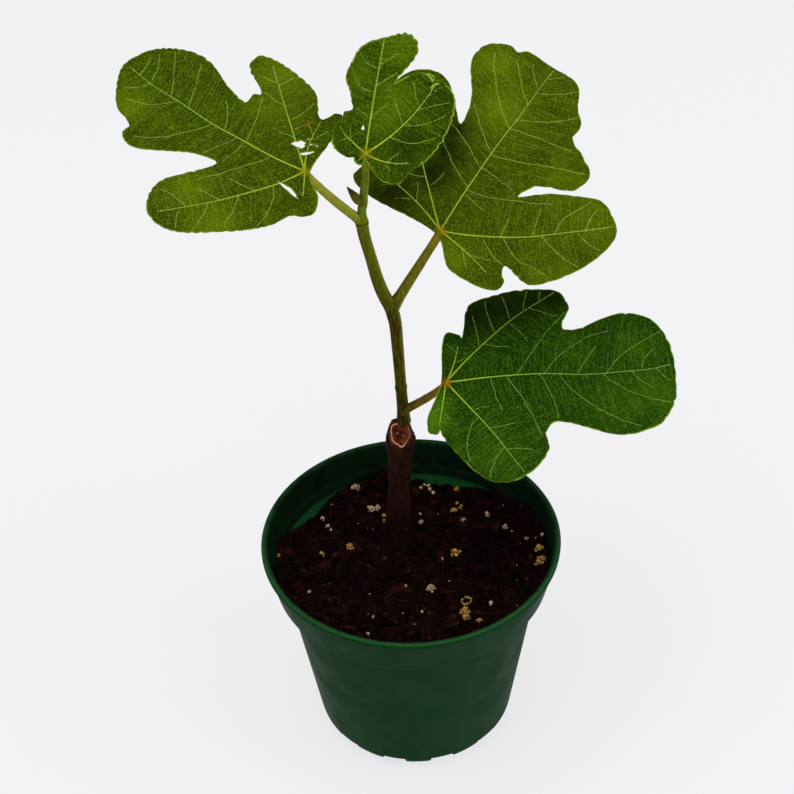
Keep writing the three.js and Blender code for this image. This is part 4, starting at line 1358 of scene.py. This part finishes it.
def hole_outline(hole):
    """A bitten hole: a ragged ellipse, given by its place, its size and its tilt."""
    place, size, tilt = hole
    angles = ring_angles(HOLE_STEPS)
    ragged = 1 + BIG_BITE * np.sin(3 * angles + place[0]) + SMALL_BITE * np.sin(7 * angles)
    x, y = size[0] / 2 * np.cos(angles) * ragged, size[1] / 2 * np.sin(angles) * ragged
    return np.outer(x, polar(tilt, 1)) + np.outer(y, polar(tilt + 90, 1)) + place


# %% [markdown]
# ## Leaves, part three: veins
# Veins come in ranks. Each lobe has one main vein. Side veins leave it at a wide angle and
# bend towards the tip. Rungs are the finest: they run nearly square to a main vein, broken
# into short dashes. Side veins and rungs are grown by the same walk: a step forward, a
# slight turn, and a stop at the margin or halfway to another main vein. Only the places
# where side veins leave the main veins are written down.

# %% Where side veins leave the main veins
# For each leaf, by lobe: its right and left side veins. Each has the distance from the
# joint where it leaves, the angle it leaves at, its bend in degrees a millimetre, and
# its length.
SIDE_VEINS = {
    "low": {
        0: ([(9, 50, 1, 4)], [(10, 50, 1, 4)]),
        1: ([(16.3, 80, 4, 17), (30, 74, 3, 13)], [(13, 62, 0, 5), (21.8, 68, 1, 8), (31, 60, 2, 8)]),
        2: (
            [(15, 88, 1.5, 13), (20.1, 62, -0.5, 25), (30.9, 60, -1.5, 19), (37.6, 62, 1.5, 33),
             (52.2, 56, 2, 28), (62, 62, 3, 9), (70.4, 54, 0, 6)],
            [(23.6, 56, 0.2, 31), (32.8, 58, 1.8, 27), (44, 66, 2, 11), (53.5, 52, 1.5, 24),
             (65.2, 72, 4.8, 9)],
        ),
        3: (
            [(19.4, 60, 1, 8), (30.6, 80, -2, 9), (40, 60, 1, 9)],
            [(17, 56, -0.2, 11), (24.9, 76, 1.8, 12), (31.9, 72, 0.2, 9), (37.6, 54, 3, 9),
             (44, 52, 2, 6)],
        ),
        4: ([(8, 50, 1, 4)], [(12, 62, 0, 4)]),
    },
    "right": {
        0: ([(8.9, 40, 1, 6)], [(12.5, 40, 1, 6)]),
        1: (
            [(13.6, 78, 3, 12), (19.9, 78, 3.7, 19), (31.9, 66, 2.2, 17), (43.5, 72, 3.7, 9)],
            [(19, 70, 1, 7), (29.4, 80, 1.2, 9), (36.2, 74, 5, 20), (46, 66, 3, 8)],
        ),
        3: (
            [(15.4, 100, -1, 9), (17, 82, 0.8, 28), (26.3, 82, -2.2, 12), (31.5, 74, 0.2, 31),
             (43.1, 72, -0.8, 22), (47.5, 72, 1.8, 19), (58.8, 74, 2.2, 13), (65.6, 60, 3.2, 8)],
            [(18, 68, 0.8, 22), (25.7, 58, -0.8, 17), (32, 56, 0.5, 18), (43.1, 58, 1, 28),
             (54, 54, 1, 16), (60.6, 60, 3.2, 9)],
        ),
        4: (
            [(16, 60, 1, 7), (28, 60, 1, 12), (38, 56, 1, 11)],
            [(19.8, 80, 1, 6), (24, 70, 1, 8), (35, 60, 1, 9)],
        ),
        5: ([(12.6, 50, 1, 6), (20, 50, 1, 6)], [(14.3, 50, 0, 5), (22, 50, 0, 4)]),
    },
    "left": {
        0: ([(12, 44, 0, 5)], [(13.3, 40, 0, 5)]),
        1: (
            [(16.3, 82, 0, 6), (19.8, 70, 1.2, 9), (33.2, 78, 0, 5)],
            [(13.3, 50, 0, 7), (25.9, 44, 1, 9), (34, 50, 1, 6)],
        ),
        2: (
            [(21.7, 80, 1.2, 16), (30.3, 70, 2.5, 10), (44.6, 66, -0.2, 14), (52, 62, 0.8, 15),
             (60.8, 76, 2.5, 10), (65.5, 72, 0, 7)],
            [(12.3, 66, 1, 24), (22.2, 92, 1, 10), (25.4, 78, 2, 12), (35, 74, 2, 25),
             (49.3, 70, 4, 16), (61, 76, 3.5, 8)],
        ),
        3: (
            [(16.1, 50, 1, 8), (27, 56, 2, 8), (37.5, 76, 6, 9)],
            [(10.5, 80, 3.5, 15), (21.3, 68, 2, 11), (30.6, 66, 2, 12), (38.9, 56, -4.5, 7)],
        ),
    },
    "top": {
        0: ([(6, 50, 1, 3)], [(7, 50, 1, 4)]),
        1: (
            [(8.7, 74, 4.8, 14), (14.3, 54, 2.8, 13), (20.4, 38, -0.2, 9), (25, 22, 0, 5)],
            [(13.9, 62, 0, 8), (21.1, 56, 0, 7)],
        ),
        2: (
            [(10.5, 38, 0, 6), (20.5, 46, 0, 7), (27, 50, 0, 6)],
            [(11, 70, 1, 8), (18.2, 82, 2.5, 12), (25.6, 82, 6, 8)],
        ),
        3: ([(6, 50, 1, 4)], [(7, 50, 1, 4)]),
    },
}

# %% Main veins and the walk
# Widths of the three ranks in millimetres. A main vein is thinner at its tip.
MAIN_WIDTH, MAIN_TIP_WIDTH = 0.21, 0.11
SIDE_WIDTH, SIDE_TIP_WIDTH, RUNG_WIDTH = 0.12, 0.11, 0.09
WALK_STEP = 0.6
MOST_TURN = math.radians(50)
MARGIN_CLEAR, RIVAL_SHARE = 0.9, 0.9
LEAST_WALK, LEAST_REST = 3, 4
MAIN_SPACING, AHEAD, FIRST_RUNG = 0.7, 0.02, 3.0
WAVER, WAVER_WAVE = 0.3, 2.5
RUNG_GAP, RUNG_ANGLE, RUNG_BEND, RUNG_LIMIT = (1.4, 2.1), (78, 92), 0.012, 30
DASH, DASH_GAP = (5, 14), (1, 4)


def vein_aside(lobe, share):
    """How far to the left of a straight line a main vein runs: a bow, plus a slight S."""
    bow, sway = lobe["vein"][2:]
    return 4 * bow * share * (1 - share) + sway * np.sin(2 * np.pi * share)


def vein_point(lobe, share):
    turn = lobe["vein"][0]
    return polar(turn, lobe["reach"] * share) + polar(turn + 90, vein_aside(lobe, share))


def main_line(lobe):
    shares = np.linspace(0, lobe["vein"][1], max(8, int(lobe["reach"] / MAIN_SPACING)))
    return np.array([vein_point(lobe, share) for share in shares])


def walk(start, heading, bend, limit, margin, own=None, rivals=None):
    """Grows a vein from a start, turning by `bend` radians a millimetre."""
    spot, line, gone = start, [start], 0.0
    while gone < limit:
        gone += WALK_STEP
        if abs(bend) * gone < MOST_TURN:
            heading += bend * WALK_STEP
        waver = WAVER * noise.noise(Vector((*(spot / WAVER_WAVE), limit)))
        spot = spot + WALK_STEP * np.array([math.cos(heading + waver), math.sin(heading + waver)])
        place = (*spot, 0)
        if margin.find(place)[2] < MARGIN_CLEAR:
            break
        if rivals and rivals.find(place)[2] < RIVAL_SHARE * own.find(place)[2]:
            break
        line.append(spot)
    return np.array(line)


# %% Grow the veins of a blade
def grow_sides(name, leaf, margin):
    sides = []
    for number, both in SIDE_VEINS[name].items():
        lobe = leaf["lobes"][number]
        for side, veins in zip((-1, 1), both):
            for station, angle, bend, length in veins:
                start = vein_point(lobe, station / lobe["reach"])
                ahead = vein_point(lobe, station / lobe["reach"] + AHEAD) - start
                heading = math.atan2(ahead[1], ahead[0]) + side * math.radians(angle)
                sides.append(walk(start, heading, -side * math.radians(bend), length, margin))
    return sides


def grow_rungs(name, mains, margin):
    """Rungs start from both sides of each main vein and are broken into dashes."""
    luck = random.Random(sum(map(ord, name)))
    rungs = []
    for at, main in enumerate(mains):
        own = nearness(main)
        rivals = nearness(np.vstack([line for other, line in enumerate(mains) if other != at]))
        along = way_along(main)
        station = FIRST_RUNG
        while station < along[-1]:
            here = int(np.searchsorted(along, station))
            ahead = main[here] - main[here - 1]
            for side in (-1, 1):
                angle = side * math.radians(luck.uniform(*RUNG_ANGLE))
                heading = math.atan2(ahead[1], ahead[0]) + angle
                line = walk(main[here], heading, -side * RUNG_BEND, RUNG_LIMIT, margin, own, rivals)
                first = 0
                while first < len(line) - LEAST_REST:
                    last = first + luck.randint(*DASH)
                    rungs.append(line[first:last])
                    first = last + luck.randint(*DASH_GAP)
            station += luck.uniform(*RUNG_GAP)
    return rungs


def grow_veins(name, leaf, outline):
    """The three ranks of a blade: main veins, side veins and rungs."""
    margin = nearness(outline)
    mains = [main_line(lobe) for lobe in leaf["lobes"] if lobe["vein"]]
    ranks = (grow_sides(name, leaf, margin), grow_rungs(name, mains, margin))
    return mains, *([line for line in rank if len(line) > LEAST_WALK] for rank in ranks)


# %% [markdown]
# ## Leaves, part four: the blade as a mesh
# A vein 0.3 mm wide on a 70 mm leaf would need an enormous grid. Instead, points are laid
# in rows along each vein and loosely everywhere else, and a Delaunay triangulation joins
# them inside the margin. That puts the fine triangles only where something fine happens.

# %% Rows of points along the veins
GRID_STEP, GRID_ROW, GRID_CLEAR = 1.2, 0.87, 0.45
RIM_CLEAR, SORTING_CELL = 0.22, 0.5
JOIN_REACH = 1e-5
ROLL_WIDTH = 0.26


def side_rows(line, offsets, spacing):
    row = even_steps(line, max(3, int(strides(line).sum() / spacing)))
    along = unit(np.gradient(row, axis=0))
    across = np.stack([-along[:, 1], along[:, 0]], 1)
    return [row + across * offset for offset in offsets]


def loose_grid(low, high):
    """Rows of points over a box, every second row shifted by half a step."""
    for at, y in enumerate(np.arange(low[1], high[1], GRID_STEP * GRID_ROW)):
        for x in np.arange(low[0], high[0], GRID_STEP):
            yield x + (GRID_STEP / 2) * (at % 2), y


def thinned(groups, margin):
    """Drops points that crowd an earlier one. groups: (points, least distance)."""
    kept, taken = [], {}
    for points, gap in groups:
        for x, y in points:
            if margin.find((x, y, 0))[2] < RIM_CLEAR:
                continue
            column, row = int(x // SORTING_CELL), int(y // SORTING_CELL)
            crowded = any(
                (x - a) ** 2 + (y - b) ** 2 < gap * gap
                for i in (-1, 0, 1) for j in (-1, 0, 1) for a, b in taken.get((column + i, row + j), ())
            )
            if not crowded:
                taken.setdefault((column, row), []).append((x, y))
                kept.append((x, y))
    return kept


def within(loop, x, y):
    """True if a place lies inside a closed loop, by counting the edges to its right."""
    a, b = loop, np.roll(loop, -1, axis=0)
    spans = (a[:, 1] > y) != (b[:, 1] > y)
    cross = a[:, 0] + (y - a[:, 1]) * (b[:, 0] - a[:, 0]) / (b[:, 1] - a[:, 1] + 1e-12)
    return int((spans & (x < cross)).sum()) % 2 == 1


def triangulated(outline, holes, mains, sides, rungs, rolls):
    loops = [outline] + holes
    margin = nearness(np.vstack(loops))
    # Each rank: its lines, the rows' offsets, the spacing along a row, the least distance.
    steps = np.array([0, -1, 1, -2.1, 2.1])
    ranks = (
        (rolls, steps * ROLL_WIDTH, 0.4, 0.12), (mains, steps * MAIN_WIDTH, 0.7, 0.12),
        (sides, steps * SIDE_WIDTH, 0.7, 0.1), (rungs, (0, -0.216, 0.216), 0.75, 0.12),
    )
    groups = [
        (row, gap) for lines, offsets, spacing, gap in ranks for line in lines
        for row in side_rows(line, offsets, spacing)
    ]
    groups.append((loose_grid(outline.min(0), outline.max(0)), GRID_CLEAR))

    def in_hole(place):
        return any(within(hole, *place) for hole in holes)

    inner = [place for place in thinned(groups, margin) if not in_hole(place)]
    points = [Vector(place) for place in (*np.vstack(loops), *inner)]
    edges, first = [], 0
    for loop in loops:
        edges += [(first + at, first + (at + 1) % len(loop)) for at in range(len(loop))]
        first += len(loop)
    made, _, triangles, *_ = geometry.delaunay_2d_cdt(points, edges, [], 1, JOIN_REACH)
    made = np.array([tuple(p) for p in made])
    return made, [tuple(t) for t in triangles if not in_hole(made[list(t)].mean(0))], margin


# %% [markdown]
# ## Leaves, part five: form
# The flat blade is lifted into its real form in three moves. It droops towards its tips,
# ripples and sinks along each main vein; the net of veins then quilts it, since the green
# tissue bulges between them; last, it is folded along the midrib, which is what turns the
# youngest leaf into a half-closed cup. The underside is the same surface a little lower,
# with every vein standing out as a rib.

# %% Height and fold of a blade
VALLEY_DEPTH, VALLEY_WIDTH = 1.5, 9.0
JOINT_DIP, JOINT_DIP_WIDTH = 0.8, 8.0
BEND_WIDTH = 9.0


def blade_height(leaf, flat):
    valley = np.ones(len(flat))
    for lobe in leaf["lobes"]:
        if lobe["vein"]:
            tip = vein_point(lobe, 1)
            share = np.clip(flat @ tip / (tip @ tip), 0, 1)[:, None]
            turn = lobe["vein"][0]
            on_vein = polar(turn, lobe["reach"]) * share + polar(turn + 90, 1) * vein_aside(lobe, share)
            from_vein = np.linalg.norm(flat - on_vein, axis=1)
            valley = np.minimum(valley, 1 - hill(from_vein, VALLEY_WIDTH))
    x, y = flat.T
    from_joint = np.hypot(x, y)
    outward = from_joint / max(lobe["reach"] for lobe in leaf["lobes"])
    wave = np.sin(0.16 * x + 0.21 * y + leaf["heading"]) * np.cos(0.13 * y - 0.09 * x)
    dip = JOINT_DIP * (1 - hill(from_joint, JOINT_DIP_WIDTH))
    return VALLEY_DEPTH * valley - dip + leaf["ripple"] * outward * wave - leaf["droop"] * outward**2


def folded(leaf, flat, height):
    angle = np.radians(np.where(flat[:, 1] < 0, leaf["right_fold"], leaf["left_fold"]))
    radius = BEND_WIDTH / angle
    distance = np.abs(flat[:, 1])
    bent = np.minimum(distance, BEND_WIDTH) / radius
    straight = np.maximum(distance - BEND_WIDTH, 0)
    across = radius * np.sin(bent) + straight * np.cos(bent)
    lift = radius * (1 - np.cos(bent)) + straight * np.sin(bent)
    y = np.sign(flat[:, 1]) * (across - height * np.sin(bent))
    return np.stack([flat[:, 0], y, lift + height * np.cos(bent)], 1)


# %% Distances that shape and colour both use
ROLL_TURNS, ROLL_OUTER = (-80, -8), 30.3
BAY_TURN, BAY_REACH = -17.5, 22.9
NO_ROLL, ROLL_SPAN = -99.0, 6
SAMPLE_STEP = 0.12
BLOTCH_EDGE, BLOTCH_RAGGED = 2.4, 0.25


def hits(tree, flat):
    """For each flat point: the number of the nearest point in a tree, and the distance to it."""
    found = [tree.find((x, y, 0)) for x, y in flat]
    return [hit[1] for hit in found], np.array([hit[2] for hit in found])


def distances(points, lines, wide, narrow):
    """Distance from each point to the nearest line, and that line's width there."""
    rows = [even_steps(line, max(4, int(strides(line).sum() / SAMPLE_STEP))) for line in lines]
    widths = np.concatenate([np.linspace(wide, narrow, len(row)) for row in rows])
    nearest, distance = hits(nearness(np.vstack(rows)), points)
    return distance, widths[nearest]


def vein_mark(distance, width):
    return 1 - soft_step(0.5, 2.0, distance / width)


def beyond(flat, rolls):
    """Signed distance past the nearest rolled rim: above 0 on its left, far away if none."""
    signed = np.full(len(flat), NO_ROLL)
    turns = np.degrees(np.arctan2(flat[:, 1], flat[:, 0]))
    outer = np.where(turns < BAY_TURN, ROLL_OUTER, BAY_REACH)
    on_lobe = (ROLL_TURNS[0] < turns) & (turns < ROLL_TURNS[1]) & (np.hypot(*flat.T) < outer)
    for line in rolls:
        along = unit(np.gradient(line, axis=0))
        nearest, distance = map(np.array, hits(nearness(line), flat))
        offset = flat - line[nearest]
        side = along[nearest][:, 0] * offset[:, 1] - along[nearest][:, 1] * offset[:, 0]
        beside = (nearest > 0) & (nearest < len(line) - 1)
        near = on_lobe & beside & (distance < np.minimum(ROLL_SPAN, np.abs(signed)))
        signed = np.where(near, np.copysign(distance, side), signed)
    return signed


def blotches(flat, spots, seed):
    """How strongly each point lies in a list of soft blotches (x, y, radius, strength)."""
    strength = np.zeros(len(flat))
    for x, y, radius, *force in spots:
        away = np.hypot(flat[:, 0] - x, flat[:, 1] - y) / radius
        strength = np.maximum(strength, (force or [1])[0] * np.exp(-(away**BLOTCH_EDGE)))
    uneven = ripple_noise(np.c_[flat, np.zeros(len(flat))], 0.25, 3, seed)
    return np.clip(strength * (1 + BLOTCH_RAGGED * uneven), 0, 2)


# %% Marks of growth, painted shade and painted light on each blade
# The youngest leaf's front lobe has its rim rolled under along two arcs. Three leaves have
# darker shoulders, which are painted shade where a leaf above or a curl shadows them; all
# have places lit by the sun, which are painted light; and one is scorched beside its torn
# holes.
# A blotch is (along the midrib, left of it, radius, strength), and strength is 1 if
# it isn't given.
ROLLED_RIMS = {
    "top": [
        [(22.6, -4.6), (24.9, -6.6), (27.2, -9.9), (27, -13.4), (24.8, -15.9)],
        [(22.7, -15.2), (24.5, -16.6), (24.4, -19), (23.2, -21), (21, -22.6)],
    ],
}
# Painted shade: blotches where a leaf above or a curl shadows the blade.
PAINTED_SHADE = {
    "low": [(9, 24, 7.5), (15, 26, 8), (22, 28, 7.5), (29, 30, 7), (36, 32, 6)],
    "right": [(2, 20, 9), (10, 26, 9), (16, 14, 8), (25, 14, 7), (32, 16, 6)],
    "top": [(20, -18, 6, 0.4), (4, -12, 6, 0.6)],
}
# Painted light: lighter places where the blade faces the light.
PAINTED_LIGHT = {
    "low": [
        (42, 13, 7, 0.5), (56, -8, 9, 0.5), (15, -26, 9, 0.4), (70, -4, 8, 0.8), (64, 12, 6, 0.5),
        (-2, -8, 4, 1.4), (-4.5, -13.5, 5, 2),
    ],
    "right": [(48, 8, 9), (5, -40, 8, 0.5), (30, -38, 8, 0.5), (60, 18, 7), (35, -24, 7, 0.6), (-5, -8, 6)],
    "left": [(26, -27, 11), (23, -14, 8, 0.7), (60, 9, 6), (12, 30, 8), (26, 24, 7)],
    "top": [(18, -6, 6), (12, -3, 5), (22, 8, 6), (33, -5, 6)],
}
SCORCHED = {"left": [(9, -15.5, 1.9), (10.8, -12.5, 1.1), (13.5, -23.5, 1.2)]}

# %% Relief of a blade, and its rim
# How high each thing stands, and how wide it is.
QUILT, RUNG_QUILT = (0.3, 2.0), (0.07, 0.7)
JOINT_KNOB, RIDGE = (0.5, 1.5), 0.12
SIDE_RIB, RUNG_RIB = (0.3, 0.32), (0.08, 0.2)
MAIN_RIB, MAIN_RIB_SPREAD = 2.6, 2.2
QUILT_FADE, RIB_FADE = 2.5, 1.5
ROLL_RIDGE, ROLL_DROP, ROLL_REACH = 0.35, 2.4, 2.6
BLADE_SINK = 0.2
HALF_THICKNESS, EDGE_THINNING, EDGE_WIDTH = 0.26, 0.5, 0.6
EDGE_ROUND = 0.1


def blade_sides(leaf, flat, away, past_roll):
    """Heights of the upper side, the lower side and the rim over the flat blade."""
    quilt = QUILT[0] * (1 - hill(np.minimum(away["main"] - BLADE_SINK, away["side"]), QUILT[1]))
    quilt += RUNG_QUILT[0] * (1 - hill(away["rung"], RUNG_QUILT[1]))
    quilt *= soft_step(0, QUILT_FADE, away["rim"])
    ridge = RIDGE * vein_mark(away["main"], away["main_width"])
    ridge += JOINT_KNOB[0] * hill(away["joint"], JOINT_KNOB[1])
    middle = blade_height(leaf, flat) - BLADE_SINK + ROLL_RIDGE * hill(past_roll, ROLL_WIDTH)
    middle -= ROLL_DROP * soft_step(0, ROLL_REACH, past_roll)
    half = HALF_THICKNESS * (1 - EDGE_THINNING * hill(away["rim"], EDGE_WIDTH))
    rib = MAIN_RIB * away["main_width"] * hill(away["main"], MAIN_RIB_SPREAD * away["main_width"])
    rib += SIDE_RIB[0] * hill(away["side"], SIDE_RIB[1]) + RUNG_RIB[0] * hill(away["rung"], RUNG_RIB[1])
    rib *= soft_step(0, RIB_FADE, away["rim"])
    return middle + half + quilt + ridge, middle - half + quilt - rib, middle + quilt


def open_edges(triangles):
    """The edges that only one triangle has."""
    seen = dict.fromkeys(edge for t in triangles for edge in zip(t, t[1:] + t[:1]))
    return [(a, b) for a, b in seen if (b, a) not in seen]


def pushed_out(flat, edges):
    """The way out from the blade at each point of its rim."""
    push = np.zeros_like(flat)
    for a, b in edges:
        along = flat[b] - flat[a]
        out = np.array([along[1], -along[0]]) / (np.linalg.norm(along) + TINY)
        push[a] += out
        push[b] += out
    return unit(push)


# %% Build one blade
def build_blade(name, leaf, skin):
    outline = blade_outline(leaf)
    holes = [hole_outline(hole) for hole in leaf["holes"]]
    mains, sides, rungs = grow_veins(name, leaf, outline)
    rolls = [smooth_curve(rim) for rim in ROLLED_RIMS.get(name, [])]
    flat, triangles, margin = triangulated(outline, holes, mains, sides, rungs, rolls)
    past_roll = beyond(flat, rolls)
    away = {"rim": hits(margin, flat)[1], "joint": np.hypot(*flat.T)}
    away["main"], away["main_width"] = distances(flat, mains, MAIN_WIDTH, MAIN_TIP_WIDTH)
    away["side"], side_width = distances(flat, sides, SIDE_WIDTH, SIDE_TIP_WIDTH)
    away["rung"], _ = distances(flat, rungs, RUNG_WIDTH, RUNG_WIDTH)

    # The upper and lower sides share their triangles, and a rim of its own joins them.
    upper, lower, rim_height = blade_sides(leaf, flat, away, past_roll)
    edges = open_edges(triangles)
    rim = sorted({corner for edge in edges for corner in edge})
    rim_flat = flat[rim] + EDGE_ROUND * pushed_out(flat, edges)[rim]
    count = len(flat)
    rim_at = {corner: 2 * count + at for at, corner in enumerate(rim)}
    faces = triangles + [tuple(corner + count for corner in t[::-1]) for t in triangles]
    for a, b in edges:
        faces.append((b, a, rim_at[a], rim_at[b]))
        faces.append((rim_at[b], rim_at[a], a + count, b + count))
    points = np.vstack([
        folded(leaf, flat, upper), folded(leaf, flat, lower), folded(leaf, rim_flat, rim_height[rim]),
    ])
    matrix = leaf_matrix(leaf)
    placed = [tuple(matrix @ Vector(point)) for point in points]

    nearest, _ = hits(nearness(np.vstack(mains)), flat)
    marks = {
        "ladder": np.concatenate([way_along(main) for main in mains])[nearest],
        # Painted shade: the shadowed blotches, and the blade past a rolled rim, under its curl.
        "painted_shade": np.maximum(blotches(flat, PAINTED_SHADE.get(name, []), seed=5.0), soft_step(0, 0.6, past_roll)),
        # Painted light: the lit blotches.
        "painted_light": blotches(flat, PAINTED_LIGHT[name], seed=9.0),
        "scorched": blotches(flat, SCORCHED.get(name, []), seed=2.0),
        # Painted highlight along the crest of each rolled rim.
        "roll": hill(past_roll, ROLL_WIDTH),
        "main_vein": vein_mark(away["main"], away["main_width"]),
        "side_vein": vein_mark(away["side"], side_width),
        "rung": vein_mark(away["rung"], RUNG_WIDTH),
        "from_rim": np.minimum(away["rim"], 9.0),
        "from_joint": np.minimum(away["joint"], 90.0),
        "flat": np.c_[flat, np.zeros(count)],
    }
    facts = {label: np.concatenate([mark, mark, mark[rim]]) for label, mark in marks.items()}
    facts["under"] = np.r_[np.zeros(count), np.ones(count), np.zeros(len(rim))]
    print(f"leaf {name}: {len(mains)} main, {len(sides)} side veins, {len(rungs)} rungs")
    build_piece(f"leaf_{name}_blade", placed, faces, facts, skin, "leaf", f"leaf_{name}")


# %% [markdown]
# ## Leaf green
# The skin of a fig leaf is rough and only a little glossy. Its green is darkest in the
# small cells between the finest veins, so a cell pattern in the blade's own flat
# measure gives both the mottling and the bump. The veins' facts then lay paler and
# yellower greens over it, ending in gold at the joint. The underside is greyer.

# %% Leaf skin
def leaf_skin(name, deep, fresh, vein_tone, joint_tone, rim_highlight_share):
    skin = Finish(name, 0.5, 0.01)
    flat = skin.fact("flat", vector=True)
    from_joint = skin.fact("from_joint")
    rows = skin.times(skin.fact("ladder"), 1.5)
    four_ways = {"noise_dimensions": "4D"}
    wide_lines = skin.node("TexNoise", four_ways, Vector=flat, W=rows, Scale=0.16, Detail=2.0)
    grain = skin.node("TexVoronoi", out=1, Vector=flat, Scale=2.6)
    cells = skin.node("TexVoronoi", {"feature": "DISTANCE_TO_EDGE"}, Vector=flat, Scale=0.95)
    pale = skin.mix(0.45, vein_tone, tone(176, 206, 106))
    gold = skin.coats(
        pale,
        (skin.step(from_joint, 45.0, 4.0), tone(168, 196, 52)),
        (skin.step(from_joint, 3.4, 0.8), joint_tone),
    )
    # Painted highlight: a thin pale line along the margin, at places.
    painted_rim_highlight = skin.times(
        skin.step(skin.fact("from_rim"), 0.4, 0.1, 0.0, rim_highlight_share),
        skin.step(skin.speckle(flat, 0.12, 1.0), 0.42, 0.56, 0.15, 1.0),
    )
    burnt = skin.step(skin.speckle(flat, 0.9, 3.0), 0.35, 0.6)
    green = skin.coats(
        deep,
        (skin.step(skin.speckle(flat, 0.09, 3.0), 0.35, 0.65), fresh),
        # Painted light: a lighter, yellower green where the blade faces the light.
        (skin.times(skin.fact("painted_light"), 0.5), skin.mix(0.5, fresh, vein_tone)),
        (skin.step(wide_lines, 0.5, 0.66, 0.0, 0.1), vein_tone),
        (skin.step(grain, 0.5, 0.3, 0.0, 0.26), skin.mix(0.4, deep, tone(8, 16, 0))),
        (skin.step(grain, 0.52, 0.75, 0.0, 0.12), vein_tone),
        (skin.step(cells, 0.1, 0.02, 0.0, 0.24), vein_tone),
        (skin.step(skin.fact("rung"), 0.2, 0.9, 0.0, 0.18), pale),
        # Painted shade: a darker green where the blade lies in shadow.
        (skin.times(skin.fact("painted_shade"), 0.85), tone(20, 26, 4)),
        (skin.step(skin.fact("side_vein"), 0.25, 0.95, 0.0, 0.62), pale),
        (skin.step(skin.fact("main_vein"), 0.3, 0.95), gold),
        (skin.step(from_joint, 2.6, 0.8, 0.0, 0.4), joint_tone),
        (painted_rim_highlight, tone(140, 172, 44)),
        # Painted highlight: a pale line along the crest of each rolled rim.
        (skin.fact("roll"), tone(165, 205, 70)),
        (skin.step(skin.times(skin.fact("scorched"), burnt), 0.1, 0.9, 0.0, 0.8), tone(124, 92, 16)),
    )
    under = skin.coats(
        tone(88, 112, 40),
        (skin.fact("side_vein"), tone(132, 148, 72)),
        (skin.fact("main_vein"), tone(156, 162, 78)),
    )
    skin.colour(skin.mix(skin.fact("under"), green, under))
    skin.rough(skin.step(skin.speckle(flat, 0.8, 4.0), 0.3, 0.7, 0.42, 0.58))
    skin.bump(skin.mix(0.35, cells, skin.speckle(flat, 5.0, 3.0)), 0.12, 0.6)
    return skin.material


# For each leaf: its deep green, fresh green, vein and joint colours, and how strong the
# painted highlight along its rim is.
LEAF_TONES = {
    "low": (tone(13, 42, 2), tone(20, 52, 3), tone(98, 148, 18), tone(168, 116, 18), 0.8),
    "right": (tone(44, 60, 1), tone(54, 72, 1), tone(138, 166, 14), tone(168, 140, 22), 0.4),
    "left": (tone(40, 56, 1), tone(50, 68, 1), tone(138, 166, 14), tone(150, 156, 34), 0.5),
    "top": (tone(30, 50, 1), tone(42, 64, 1), tone(126, 162, 12), tone(150, 148, 22), 0.9),
}
for name, leaf in LEAVES.items():
    build_blade(name, leaf, leaf_skin(f"leaf_skin_{name}", *LEAF_TONES[name]))

# %% [markdown]
# ## The size that was made
# The fine pieces should fill the same box as the solids, because others place this plant
# by that box. Both boxes are put side by side at the end, and the visual one is printed.

# %% Gather both boxes and print the visual one
visual_low, visual_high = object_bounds()
boxes = {"cad": [list(cad_low), list(cad_high)], "visual": [list(visual_low), list(visual_high)]}
print("visual box", boxes["visual"])
